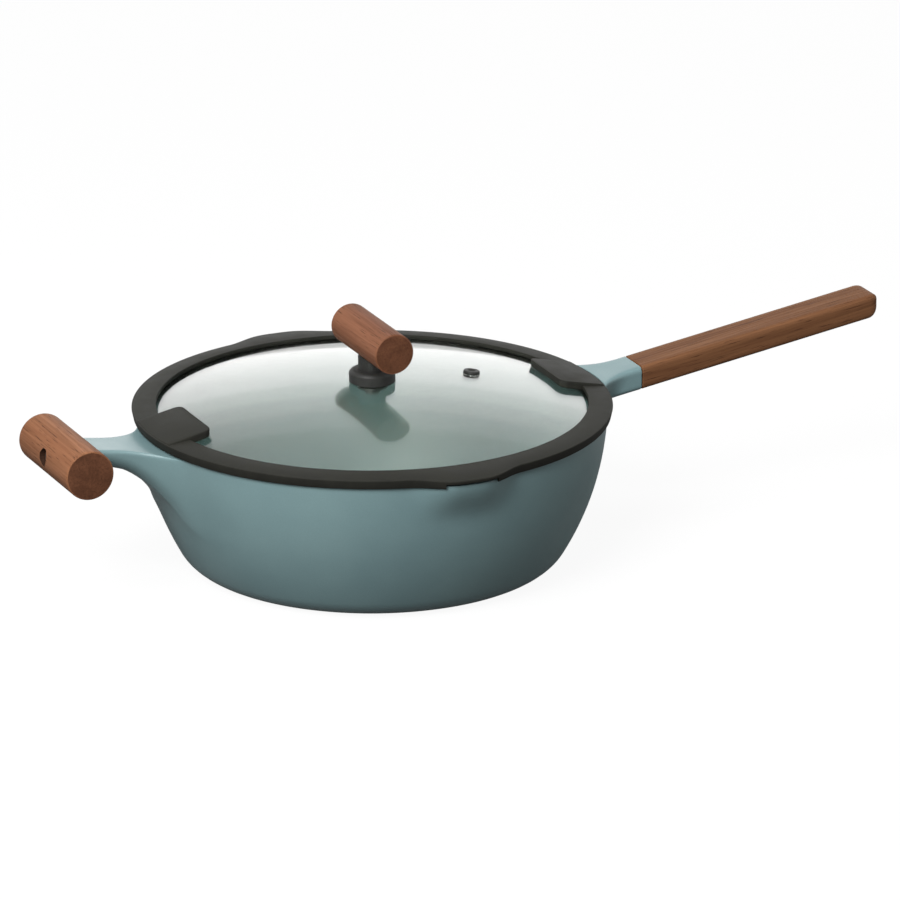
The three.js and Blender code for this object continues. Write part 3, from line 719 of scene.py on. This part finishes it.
def inside_points():
    """The bowl's outline from the rim down to the middle of its floor."""
    corner_top = INSIDE[0].y
    rise = PAN_HEIGHT - corner_top
    heights = [corner_top + rise * i / INSIDE_ROWS for i in range(1, INSIDE_ROWS)]
    points = [(RIM_INSIDE, PAN_HEIGHT)]
    points += [(curve_radius(INSIDE, z), z) for z in reversed(heights)]
    points += reversed(corner_points(INSIDE_FLOOR, PAN_FLOOR, CORNER_RADIUS - WALL))
    return points + [(INSIDE_FLOOR / 2, PAN_FLOOR), (0, PAN_FLOOR)]


def bowl():
    """The pan without its arms: one closed outline turned about the Z axis."""
    bm = turned(outside_points() + inside_points(), BOWL_STEPS, closed=False)
    rim = [
        e
        for e in bm.edges
        if all(v.co.z > PAN_HEIGHT - TINY for v in e.verts)
        and abs(e.verts[0].co.xy.length - e.verts[1].co.xy.length) < TINY
    ]
    bevel(bm, rim, RIM_EASE, segments=4)
    push_spouts(
        bm, SPOUT_BULGE, FOOT_RADIUS, lambda z: smooth_step(z, SPOUT_FOOT, PAN_HEIGHT - RIM_EASE)
    )
    return bm


# Pan body: drawing an arm out of the wall, ring by ring


def open_wall(bm, way, columns):
    """Takes away the patch of outer wall that an arm grows from. Gives the edge round the hole, and
    each of its points as shares across and up the patch."""
    half_angle = columns * 2 * pi / BOWL_STEPS
    patch = []
    for face in bm.faces:
        middle = face.calc_center_median()
        outside = middle.xy.length > curve_radius(OUTSIDE, max(middle.z, ROOT_Z)) - WALL / 2
        beside = abs(atan2(middle.y, middle.x * way)) < half_angle
        if outside and beside and ROOT_Z < middle.z < SHELF_Z:
            patch.append(face)
    bmesh.ops.delete(bm, geom=patch, context="FACES")
    edges = [e for e in bm.edges if e.is_boundary]
    spots = {}
    for vert in {v for e in edges for v in e.verts}:
        across = atan2(vert.co.y, vert.co.x * way) / half_angle
        up = (vert.co.z - ROOT_Z) / (SHELF_Z - ROOT_Z)
        spots[vert] = (min(max(across, -1), 1), min(max(up, 0), 1))
    return edges, spots


def draw_out(bm, edges, spots, place):
    """Draws the open edge out to a new ring. place gives a point for the shares across and up."""
    made = bmesh.ops.extrude_edge_only(bm, edges=edges)["geom"]
    ring = {}
    for vert in (g for g in made if isinstance(g, bmesh.types.BMVert)):
        root = next(e.other_vert(vert) for e in vert.link_edges if e.other_vert(vert) in spots)
        ring[vert] = spots[root]
    for vert, (across, up) in ring.items():
        vert.co = place(across, up)
    front = [g for g in made if isinstance(g, bmesh.types.BMEdge) and g.is_boundary]
    return front, ring


def close_end(bm, edges, spots):
    """Fills the open edge with a grid between its upper and its lower side."""
    level = [e for e in edges if all(abs(spots[v][1] - 0.5) > 0.5 - TINY for v in e.verts)]
    bmesh.ops.grid_fill(bm, edges=level, use_interp_simple=True)


def section_point(x, across, up, half_width, low, high, round_edge, round_low=None):
    """A point on the outline of an arm's section, whose corners are round. Its lower corners may
    be rounder than its upper ones."""
    y = across * half_width
    z = low + (high - low) * up
    aside = half_width - abs(y)
    low_edge = round_edge if round_low is None else round_low
    end, way, edge = (low, -1, low_edge) if z - low < low_edge else (high, 1, round_edge)
    away = abs(end - z)
    if aside < edge and away < edge:
        turn = pi / 4 * (1 + (aside - away) / edge)
        y = copysign(half_width - edge * (1 - cos(turn)), y)
        z = end - way * edge * (1 - sin(turn))
    return Vector((x, y, z))


def spread(across):
    """Draws an arm's columns together towards its edges."""
    return sin(across * pi / 2)


def handle_middle(x):
    return JOINT_Z + (x - JOINT_X) * tan(HANDLE_TILT)


def arm_middle(x):
    return HELPER_PLACE.z + (x - HELPER_FACE) * tan(ARM_TILT)


def upper_side(arm, x):
    return arm.middle(x) + arm.half


def underside(arm, x):
    """Height of an arm's underside, which sweeps down to the wall."""
    root = curve_radius(OUTSIDE, ROOT_Z) - ROOT_DEPTH
    drop = arm.middle(root) - arm.half - ROOT_Z
    share = min(max((arm.straight - x) / (arm.straight - root), 0), 1)
    return arm.middle(x) - arm.half - drop * share**SWEEP_POWER


def flare(arm, up, share):
    """Distance from the pan's axis and half width of an arm, at a share of its fillet's turn."""
    reach = curve_radius(OUTSIDE, patch_height(up)) + arm.fillet
    middle_y = arm.width / 2 + arm.fillet
    middle_x = sqrt(reach**2 - middle_y**2)
    start = asin(middle_y / reach)
    turn = start + (pi / 2 - start) * share
    x = middle_x - arm.fillet * cos(turn)
    y = middle_y - arm.fillet * sin(turn)
    return hypot(x, y), y


def flare_share(arm, radius):
    """The share of the fillet's turn at which an arm's upper edge is at a distance from the axis."""
    reach = curve_radius(OUTSIDE, SHELF_Z) + arm.fillet
    start = asin((arm.width / 2 + arm.fillet) / reach)
    turn = acos((reach**2 + arm.fillet**2 - radius**2) / (2 * reach * arm.fillet))
    return turn / (pi / 2 - start)


def flare_ring(arm, share, top=None, slant=0.0):
    """A ring round the pan's axis where an arm widens into the wall. It may have a level top, and
    its lower points may lie further out, by a slant."""
    blend = smooth_step(share, 0, FLARE_BLEND)

    def place(across, up):
        radius, half_width = flare(arm, up, share + slant * (1 - up))
        y = spread(across) * half_width
        x = sqrt(radius**2 - y**2)
        low = underside(arm, x)
        high = upper_side(arm, x) if top is None else top
        edges = (arm.round * blend, arm.belly * blend)
        here = section_point(x, spread(across), up, half_width, low, high, *edges)
        here.z = patch_height(up) + (here.z - patch_height(up)) * blend
        here.x = sqrt(radius**2 - here.y**2) * arm.way
        return here

    return place


def straight_ring(arm, x, inset=0.0):
    """A square ring across an arm beyond its fillets."""

    def place(across, up):
        low = underside(arm, x) + inset
        high = upper_side(arm, x) - inset
        half_width = arm.width / 2 - inset
        here = section_point(x, spread(across), up, half_width, low, high, arm.round, arm.belly)
        here.x *= arm.way
        return here

    return place


def saddle_ring(arm):
    """The last ring of the helper's arm, hollowed to seat the dowel."""
    cup = HELPER_RADIUS + SADDLE_GAP
    square = straight_ring(arm, HELPER_FACE)

    def place(across, up):
        here = square(across, up)
        here.x = HELPER_PLACE.x + sqrt(cup**2 - (here.z - HELPER_PLACE.z) ** 2)
        return here

    return place


def tang_ring(distance):
    """A ring of the tang at a distance along the tilted handle."""

    def place(across, up):
        section = section_point(
            0, spread(across), up, TANG_WIDTH / 2, -TANG_HEIGHT / 2, TANG_HEIGHT / 2, TANG_ROUND
        )
        return HANDLE_FRAME @ (section + Vector((distance, 0, 0)))

    return place


def ease_root(bm, root):
    """Smooths the foot of an arm into the wall: most at its root, and less with each row."""
    near = set(root)
    for _ in range(ROOT_EASE_ROWS):
        near |= {e.other_vert(v) for v in near for e in v.link_edges}
        verts = [v for v in bm.verts if v in near]
        for _ in range(ROOT_EASE_PASSES):
            bmesh.ops.smooth_vert(
                bm, verts=verts, factor=0.5, use_axis_x=True, use_axis_y=True, use_axis_z=True
            )


def grow_arm(bm, arm, rings):
    edges, spots = open_wall(bm, arm.way, arm.columns)
    root = [vert for vert, (across, up) in spots.items() if up < ROOT_EASE_SHARE]
    for ring in rings:
        edges, spots = draw_out(bm, edges, spots, ring)
    close_end(bm, edges, spots)
    ease_root(bm, root)


def helper_arm():
    """The arm of the helper handle, and its rings from the wall to the dowel."""
    arm = SimpleNamespace(
        way=-1,
        columns=10,
        width=ARM_WIDTH,
        half=ARM_HALF,
        fillet=ARM_FILLET,
        round=ARM_ROUND,
        belly=ARM_BELLY,
        straight=HELPER_FACE - ARM_STRAIGHT,
        middle=arm_middle,
    )
    rings = [flare_ring(arm, i / ARM_RINGS) for i in range(1, ARM_RINGS + 1)]
    rings += [straight_ring(arm, arm.straight), saddle_ring(arm)]
    return arm, rings


def handle_stub():
    """The stub of the long handle, and its rings from the wall to the end of the tang. Below the
    lid's rim it has a level shelf."""
    stub = SimpleNamespace(
        way=1,
        columns=9,
        width=HANDLE_WIDTH,
        half=HANDLE_HALF,
        fillet=STUB_FILLET,
        round=HANDLE_ROUND,
        belly=HANDLE_ROUND,
        straight=JOINT_X - STUB_STRAIGHT,
        middle=handle_middle,
    )
    step = flare_share(stub, SHELF_RADIUS)
    rings = []
    for i in range(1, STUB_ROOT_RINGS + 1):
        rings.append(flare_ring(stub, step * i / STUB_ROOT_RINGS, top=SHELF_Z))
    for i in range(STUB_RINGS + 1):
        share = step + (1 - step) * i / STUB_RINGS
        rings.append(flare_ring(stub, share, slant=STUB_SLANT * (1 - i / STUB_RINGS)))
    rings += [straight_ring(stub, JOINT_X - STUB_EASE), straight_ring(stub, JOINT_X, STUB_EASE)]
    rings += [tang_ring(0), tang_ring(TANG_LENGTH)]
    return stub, rings


def pan_body(coating):
    bm = bowl()
    grow_arm(bm, *helper_arm())
    grow_arm(bm, *handle_stub())
    face_outwards(bm)
    return piece("pan_casting", bm, "pan", "coated_aluminium", ["pan_body"], coating)


# Wooden grips


def grip_spot(x, z):
    return HANDLE_FRAME @ Matrix.Translation((x, 0, z))


def mortise_end():
    """The inner end of the long grip's mortise, its edge, and the shares across and up along that."""
    bm = bmesh.new()
    bmesh.ops.create_grid(bm, x_segments=GRIP_COLUMNS, y_segments=GRIP_ROWS, size=1)
    spots = {v: (v.co.x, row_share((v.co.y + 1) / 2)) for v in bm.verts}
    place = tang_ring(TANG_LENGTH + GRIP_GAP)
    for vert, (across, up) in spots.items():
        vert.co = place(across, up)
    edges = [e for e in bm.edges if e.is_boundary]
    return bm, edges, {v: spots[v] for e in edges for v in e.verts}


def bar_ring(x, share, inset=0.0):
    """A ring across the long grip, drawn in by a share of the rounding at its end."""

    def place(across, up):
        low = handle_middle(x) - HANDLE_HALF + GRIP_END_ROUND * share + inset
        high = handle_middle(x) + HANDLE_HALF - GRIP_END_TOP * share - inset
        half_width = HANDLE_WIDTH / 2 - GRIP_END_SIDE * share - inset
        edge = HANDLE_ROUND * (1 - share / 2)
        return section_point(x, spread(across), up, half_width, low, high, edge)

    return place


def grip_rings():
    """The long grip's rings, from the mouth of its mortise to its round end."""
    start = JOINT_X + GRIP_GAP
    ease = STUB_EASE / 2
    straight_end = GRIP_END_X - GRIP_END_ROUND
    rings = [tang_ring(GRIP_GAP), bar_ring(start, 0, ease), bar_ring(start + ease, 0)]
    for i in range(1, GRIP_RINGS + 1):
        rings.append(bar_ring(start + (straight_end - start) * i / GRIP_RINGS, 0))
    for turn in quarter_turn(GRIP_END_RINGS)[1:]:
        rings.append(bar_ring(straight_end + GRIP_END_ROUND * sin(turn), 1 - cos(turn)))
    return rings


def long_grip(wood):
    """A bar with round edges that starts with a mortise and ends round."""
    bm, edges, spots = mortise_end()
    for ring in grip_rings():
        edges, spots = draw_out(bm, edges, spots, ring)
    close_end(bm, edges, spots)
    face_outwards(bm)
    half = HANDLE_THICKNESS / 2
    bores = [
        moved(rod(GRIP_BORE_RADIUS, -2 * half, GRIP_BORE_DEPTH - half), grip_spot(x, 0))
        for x in GRIP_BORE_PLACES
    ]
    bm = carved(bm, *bores)
    return piece("long_handle_walnut", bm, "pan", "walnut", ["long_handle_grip"], wood)


def dowel(radius, half_length, place):
    """A dowel along Y with eased ends. Its end faces take the second material."""
    outline = [(0, -half_length), (radius, -half_length), (radius, half_length), (0, half_length)]
    bm = turned(outline, DOWEL_STEPS, (0, 1, 0), closed=False)
    lengthwise = [e for e in bm.edges if abs(e.verts[0].co.y - e.verts[1].co.y) > half_length]
    bmesh.ops.subdivide_edges(bm, edges=lengthwise, cuts=DOWEL_CUTS, use_grid_fill=True)
    bevel(bm, sharp_edges(bm), DOWEL_EASE, segments=4)
    face_outwards(bm)
    for face in bm.faces:
        face.material_index = 1 if abs(face.normal.y) > LOOKS_ALONG else 0
    bmesh.ops.translate(bm, verts=bm.verts, vec=place)
    return bm


def helper_grip(wood, end_wood, painted_shade_wood):
    """The dowel of the helper handle. The wall of its screw's bore takes the third material, a darker
    walnut that paints shade into the hole.
    """
    bm = dowel(HELPER_RADIUS, HELPER_HALF_LENGTH, HELPER_PLACE)
    bore = moved(rod(HELPER_BORE_RADIUS, -2 * HELPER_RADIUS, -HELPER_BORE_FLOOR), HELPER_FRAME)
    bm = carved(bm, bore)
    to_bore = HELPER_FRAME.inverted()
    for face in bm.faces:
        spot = to_bore @ face.calc_center_median()
        if spot.z < 0 and spot.xy.length < HELPER_BORE_RADIUS + HELPER_BORE_SLACK:
            face.material_index = 2
    return piece("helper_walnut", bm, "pan", "walnut", ["helper_grip"], wood, end_wood, painted_shade_wood)


def knob_grip(wood, end_wood):
    bm = dowel(KNOB_RADIUS, KNOB_HALF_LENGTH, KNOB_PLACE)
    return piece("knob_walnut", bm, "lid", "walnut", ["knob_grip"], wood, end_wood)


# Lid


def rim_ring():
    """The silicone rim without its pads and slots."""
    groove_top = [
        (r, dome_height(DOME_RADIUS + GLASS_FIT, r)) for r in (GLASS_GROOVE, OPENING_RADIUS)
    ]
    under = DOME_RADIUS - GLASS_THICKNESS
    groove_bottom = dome_height(under, GLASS_GROOVE) - GLASS_FIT
    plug_bottom = groove_bottom - PLUG_LIP
    outline = [
        (GLASS_LIP, plug_bottom),
        (PLUG_RADIUS - PLUG_DRAFT, plug_bottom),
        (PLUG_RADIUS, PLATE_Z),
        (SKIRT_INSIDE, PLATE_Z),
        (SKIRT_INSIDE, SKIRT_Z),
        (RING_RADIUS - SKIRT_DRAFT, SKIRT_Z),
        (RING_RADIUS, RING_EDGE),
        (OPENING_RADIUS, RING_TOP),
        *reversed(groove_top),
        (GLASS_GROOVE, groove_bottom),
        (GLASS_LIP, dome_height(under, GLASS_LIP) - GLASS_FIT),
    ]
    bm = turned(outline, LID_STEPS)
    bevel(bm, sharp_edges(bm), RING_EASE)
    innermost = SKIRT_INSIDE - LIP_MARGIN
    push_spouts(bm, LIP_BULGE, innermost, drop=LIP_DROP, drop_from=PLATE_Z + LIP_MARGIN)
    return bm


def on_top(edge):
    """Whether an edge bounds a face that looks up."""
    return any(face.normal.z > LOOKS_UP for face in edge.link_faces)


def glass_room():
    """What the pads leave free: the glass with its fit, and all that lies under it."""
    fit = DOME_RADIUS + GLASS_FIT
    edge = OPENING_RADIUS + PAD_ROOT
    radii = [edge * i / GLASS_ROOM_RINGS for i in range(GLASS_ROOM_RINGS, -1, -1)]
    outline = [(0, 0), (GLASS_GROOVE, 0)]
    outline += [(r, dome_height(fit, r) + PAD_ROOT) for r in (GLASS_GROOVE, edge)]
    outline += [(r, dome_height(fit, r)) for r in radii]
    return turned(outline, LID_STEPS, closed=False)


def pad_top():
    """A pad's upper face: its inner corners are round, and its outer side follows the rim."""
    bm = bmesh.new()
    bmesh.ops.create_grid(bm, x_segments=1, y_segments=1, size=1)
    outer = [e for e in bm.edges if all(v.co.x > 0 for v in e.verts)]
    for vert in bm.verts:
        vert.co.x = PAD_OUTER if vert.co.x > 0 else PAD_INNER
        vert.co.y *= PAD_HALF_WIDTH
    bmesh.ops.subdivide_edges(bm, edges=outer, cuts=PAD_OUTER_CUTS)
    inner = [v for v in bm.verts if v.co.x < PAD_OUTER - PAD_CORNER]
    bevel(bm, inner, PAD_CORNER, PAD_CORNER_STEPS, "VERTICES")
    for vert in bm.verts:
        if vert.co.x > PAD_OUTER - TINY:
            vert.co.x = sqrt(PAD_OUTER**2 - vert.co.y**2)
        rise = (RING_RADIUS - vert.co.x) / (RING_RADIUS - PAD_INNER)
        vert.co.z = PAD_LOW + (PAD_HIGH - PAD_LOW) * rise
    return bm


def rim_pad(way):
    """A pad on the rim: a block whose flat top rises from the rim's outer edge over the glass."""
    bm = pad_top()
    sides = bmesh.ops.extrude_face_region(bm, geom=list(bm.faces))["geom"]
    for vert in (g for g in sides if isinstance(g, bmesh.types.BMVert)):
        vert.co.z = PAD_BOTTOM
    face_outwards(bm)
    bevel(bm, [e for e in sharp_edges(bm) if on_top(e)], PAD_EASE)
    if way < 0:
        bmesh.ops.rotate(bm, verts=bm.verts, matrix=Matrix.Rotation(pi, 3, "Z"))
    return carved(bm, glass_room())


def pour_slot(way):
    """The slot that opens the skirt over a spout. It ends at the plug."""
    bm = bmesh.new()
    bmesh.ops.create_cube(bm, size=1)
    bmesh.ops.scale(bm, verts=bm.verts, vec=(2 * POUR_HALF_WIDTH, RIM_RADIUS, POUR_Z))
    bmesh.ops.translate(bm, verts=bm.verts, vec=(0, way * RIM_RADIUS, POUR_Z / 2))
    return carved(bm, rod(PLUG_RADIUS, -FAR, FAR, LID_STEPS))


def lid_rim(rubber):
    slots = [pour_slot(1), pour_slot(-1)]
    bm = carved(rim_ring(), *slots)
    bm = carved(bm, rim_pad(1), rim_pad(-1), operation="UNION")
    return piece("lid_rim_moulding", bm, "lid", "silicone", ["lid_rim"], rubber)


def lid_glass(finish):
    reach = GLASS_RADIUS - GLASS_HOLE
    radii = [GLASS_HOLE + reach * i / GLASS_RINGS for i in range(GLASS_RINGS + 1)]
    under = DOME_RADIUS - GLASS_THICKNESS
    outline = [(r, dome_height(under, r)) for r in radii]
    outline += [(r, dome_height(DOME_RADIUS, r)) for r in reversed(radii)]
    bm = turned(outline, LID_STEPS)
    hole = moved(rod(VENT_HOLE, -3 * GLASS_THICKNESS, GLASS_THICKNESS), VENT_FRAME)
    bm = carved(bm, hole)
    return piece("lid_glass_dome", bm, "lid", "glass", ["lid_glass"], finish)


# Knob's post, vent, screws and washers


def knob_post(plastic):
    """A collar on the glass, and a neck that ends in a saddle under the knob."""
    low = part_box("knob_post")[0].z
    bore = KNOB_SCREW[0] + SCREW_FIT
    outline = [
        (bore, low + GASKET_RECESS),
        (GASKET_RECESS_RADIUS, low + GASKET_RECESS),
        (GASKET_RECESS_RADIUS, low),
        (COLLAR_RADIUS, low),
    ]
    for turn in quarter_turn(SHOULDER_STEPS):
        radius = SHOULDER_RADIUS + (COLLAR_RADIUS - SHOULDER_RADIUS) * cos(turn)
        outline.append((radius, low + COLLAR_HEIGHT + SHOULDER_HEIGHT * sin(turn)))
    outline.append((NECK_RADIUS, low + COLLAR_HEIGHT + SHOULDER_HEIGHT))
    outline += [(NECK_RADIUS, KNOB_PLACE.z), (bore, KNOB_PLACE.z)]
    reach = KNOB_RADIUS + SADDLE_GAP
    across = Matrix.Translation(KNOB_PLACE) @ Matrix.Rotation(pi / 2, 4, "X")
    saddle = moved(rod(reach, -KNOB_HALF_LENGTH, KNOB_HALF_LENGTH, 2 * DOWEL_STEPS), across)
    bm = carved(turned(outline, DOWEL_STEPS), saddle)
    return piece("knob_post_moulding", bm, "lid", "black_plastic", ["knob_post"], plastic)


def vent_eyelet(plastic):
    outline = [
        (VENT_BORE, VENT_END),
        (VENT_SHANK, VENT_END),
        (VENT_SHANK, VENT_SEAT),
        (VENT_FLANGE, VENT_SEAT),
    ]
    for turn in quarter_turn(FLANGE_STEPS):
        radius = VENT_FLANGE - VENT_FLANGE_HEIGHT / 2 * (1 - cos(turn))
        outline.append((radius, VENT_FLANGE_HEIGHT / 2 * (1 + sin(turn))))
    outline += [(2 * VENT_BORE, VENT_FLANGE_HEIGHT), (VENT_BORE, VENT_FLANGE_HEIGHT - VENT_BORE)]
    bm = moved(turned(outline, SMALL_STEPS), VENT_FRAME)
    return piece("vent_eyelet_moulding", bm, "lid", "black_plastic", ["vent_eyelet"], plastic)


def screw(name, sizes, place, body, metal):
    """A socket screw along Z whose head lies below zero."""
    radius, length, head, height = sizes
    ease = SCREW_EASE
    outline = [
        (0, -height),
        (head - ease, -height),
        (head, ease - height),
        (head, 0),
        (radius, 0),
        (radius, length - ease),
        (radius - ease, length),
        (0, length),
    ]
    socket = rod(head * SOCKET_SHARE, -2 * height, -height / 2, SOCKET_SIDES)
    bm = moved(carved(turned(outline, SMALL_STEPS, closed=False), socket), place)
    return piece(name + "_turned", bm, body, "steel", [name], metal)


def washer(name, sizes, place, body, slot, finish):
    inner, outer, low, high = sizes
    outline = [(inner, low), (outer, low), (outer, high), (inner, high)]
    bm = turned(outline, 2 * SMALL_STEPS)
    bevel(bm, sharp_edges(bm), WASHER_EASE, segments=2)
    return piece(name + "_ring", moved(bm, place), body, slot, [name], finish)


def knob_ring(name, slot, finish):
    """A ring about the Z axis, round the knob's screw."""
    low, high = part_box(name)
    sizes = (KNOB_SCREW[0] + SCREW_FIT, high.x, low.z, high.z)
    return washer(name, sizes, Matrix.Identity(4), "lid", slot, finish)


def induction_disc(metal):
    """A steel disc with shallow rings turned into its underside."""
    outline = [(0, DISC_THICKNESS), (DISC_RADIUS, DISC_THICKNESS), (DISC_RADIUS, 0)]
    for radius in DISC_GROOVES:
        outline.append((radius + DISC_GROOVE_WIDTH / 2, 0))
        outline.append((radius + DISC_GROOVE_WIDTH / 4, DISC_GROOVE_DEPTH))
        outline.append((radius - DISC_GROOVE_WIDTH / 4, DISC_GROOVE_DEPTH))
        outline.append((radius - DISC_GROOVE_WIDTH / 2, 0))
    outline.append((0, 0))
    bm = turned(outline, LID_STEPS, closed=False)
    return piece("induction_disc_turned", bm, "pan", "steel", ["induction_disc"], metal)


# Stage and light


def ray_is_seen(tree, *kinds):
    """One for rays from the camera and for the further kinds, and zero for all others."""
    path = add_node(tree, "ShaderNodeLightPath")
    seen = path.outputs["Is Camera Ray"]
    for kind in kinds:
        both = add_node(tree, "ShaderNodeMath", operation="MAXIMUM")
        tree.links.new(seen, both.inputs[0])
        tree.links.new(path.outputs[kind], both.inputs[1])
        seen = both.outputs["Value"]
    return seen


def make_world():
    """Even light from all sides. It shows as white to the camera, in gloss and through glass."""
    world = bpy.data.worlds.new("studio")
    scene.world = world
    world.use_nodes = True
    tree = world.node_tree
    back = tree.nodes["Background"]
    back.inputs["Color"].default_value = grey(1.0)
    seen = ray_is_seen(tree, "Is Glossy Ray", "Is Transmission Ray")
    inputs = {"Value": seen, "To Min": AMBIENT, "To Max": 1.0}
    level = add_node(tree, "ShaderNodeMapRange", inputs)
    tree.links.new(level.outputs["Result"], back.inputs["Strength"])


def floor_in_gloss(tree):
    """How far the floor shows white in gloss. A painted shade dims it by the pan."""
    place = add_node(tree, "ShaderNodeTexCoord").outputs["Object"]
    reach = add_node(tree, "ShaderNodeVectorMath", {"Vector": place}, operation="LENGTH")
    inputs = {"Value": reach.outputs["Value"], "From Min": SHADE_NEAR, "From Max": SHADE_FAR}
    inputs |= {"To Min": FLOOR_GLOW_IN_PAINTED_SHADE, "To Max": FLOOR_GLOW_IN_GLOSS}
    return add_node(tree, "ShaderNodeMapRange", inputs).outputs["Result"]


def floor_finish():
    """White to the camera and through glass, and a dull grey that throws little light back up."""
    material, tree, unused = new_material("floor")
    tree.nodes.remove(unused)
    dull = add_node(tree, "ShaderNodeBsdfDiffuse", {"Color": grey(FLOOR_GREY)})
    white = add_node(tree, "ShaderNodeBsdfDiffuse", {"Color": grey(FLOOR_WHITE)})
    glow = add_node(tree, "ShaderNodeEmission", {"Color": grey(1.0), "Strength": 1.0})
    shown = mix_shaders(tree, FLOOR_GLOW, white, glow)
    in_gloss = mix_shaders(tree, floor_in_gloss(tree), dull, glow)
    gloss_ray = add_node(tree, "ShaderNodeLightPath").outputs["Is Glossy Ray"]
    surface = mix_shaders(tree, gloss_ray, dull, in_gloss)
    show(tree, mix_shaders(tree, ray_is_seen(tree, "Is Transmission Ray"), surface, shown))
    return material


def make_floor():
    """A white floor that keeps the pan's soft shadow."""
    bm = bmesh.new()
    bmesh.ops.create_grid(bm, x_segments=1, y_segments=1, size=FLOOR_SIZE / 2)
    floor = new_object("floor", bm)
    floor.data.materials.append(floor_finish())
    floor.location.z = -FLOOR_GAP


def make_lamp(name, azimuth, height, distance, width, tall, power):
    """A soft box that looks at the pan from a compass direction and a height, both angles."""
    light = bpy.data.lights.new(name, "AREA")
    light.shape = "RECTANGLE"
    light.size = width
    light.size_y = tall
    light.energy = power
    level = distance * cos(height)
    place = Vector((level * cos(azimuth), level * sin(azimuth), distance * sin(height)))
    holder = hold(name, light, place, LAMP_AIM - place)
    holder.visible_camera = False


def make_back_lamp(top):
    """One of the soft boxes behind the pan. They share a lower edge, so their light fades upwards."""
    tall = 2 * BACK_DISTANCE * tan((top - BACK_LOW) / 2)
    power = BACK_GLOW * pi * BACK_WIDTH * tall
    name = f"back_{degrees(top):.0f}"
    make_lamp(name, BACK_AZIMUTH, (BACK_LOW + top) / 2, BACK_DISTANCE, BACK_WIDTH, tall, power)


make_camera()
make_world()
make_floor()
make_lamp("key", *KEY_LAMP)
make_lamp("top", *TOP_LAMP)
for top in BACK_TOPS:
    make_back_lamp(top)
make_lamp("fill", *FILL_LAMP)

coating = satin_coating()
rubber = silicone()
plastic = black_plastic()
steel = bright_metal("bright_steel", STEEL_TONES)
black_steel = bright_metal("blackened_steel", BLACK_STEEL_TONES)
brass = bright_metal("brass", BRASS_TONES)
disc_steel = turned_steel()
glass = lid_glass_finish()
handle_wood = walnut("walnut_handle", HANDLE_TONES, HANDLE_TURN, shift=(0.3, 0.1, 0.2))
helper_wood = walnut("walnut_helper", HELPER_TONES, DOWEL_TURN, shift=(0.1, 0.5, 0.3))
knob_wood = walnut("walnut_knob", KNOB_TONES, DOWEL_TURN, shift=(0.7, 0.2, 0.9))
end_wood = walnut("walnut_end_grain", END_GRAIN_TONES, DOWEL_TURN, shift=(0.4, 0.8, 0.1))
# The bore's walnut is darkened as painted shade in the screw's hole
painted_shade_wood = walnut("walnut_bore_painted_shade", BORE_PAINTED_SHADE_TONES, DOWEL_TURN, shift=(0.2, 0.6, 0.5))

pan_body(coating)
long_grip(handle_wood)
helper_grip(helper_wood, end_wood, painted_shade_wood)
knob_grip(knob_wood, end_wood)
lid_rim(rubber)
lid_glass(glass)
knob_post(plastic)
vent_eyelet(plastic)
induction_disc(disc_steel)
for part, x in zip(("front", "rear"), GRIP_BORE_PLACES):
    screw("long_handle_screw_" + part, GRIP_SCREW, grip_spot(x, GRIP_SCREW_Z), "pan", steel)
helper_spot = HELPER_FRAME @ Matrix.Translation((0, 0, HELPER_SCREW_Z))
screw("helper_screw", HELPER_SCREW, helper_spot, "pan", steel)
knob_spot = Matrix.Translation((0, 0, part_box("knob_screw")[0].z + KNOB_SCREW[3]))
screw("knob_screw", KNOB_SCREW, knob_spot, "lid", steel)
washer("helper_washer", HELPER_WASHER, HELPER_FRAME, "pan", "steel", steel)
washer("vent_washer", VENT_WASHER, VENT_FRAME, "lid", "steel", black_steel)
knob_ring("knob_gasket_upper", "silicone", rubber)
knob_ring("knob_gasket_lower", "silicone", rubber)
knob_ring("knob_washer", "steel", steel)
knob_ring("knob_insert", "brass", brass)
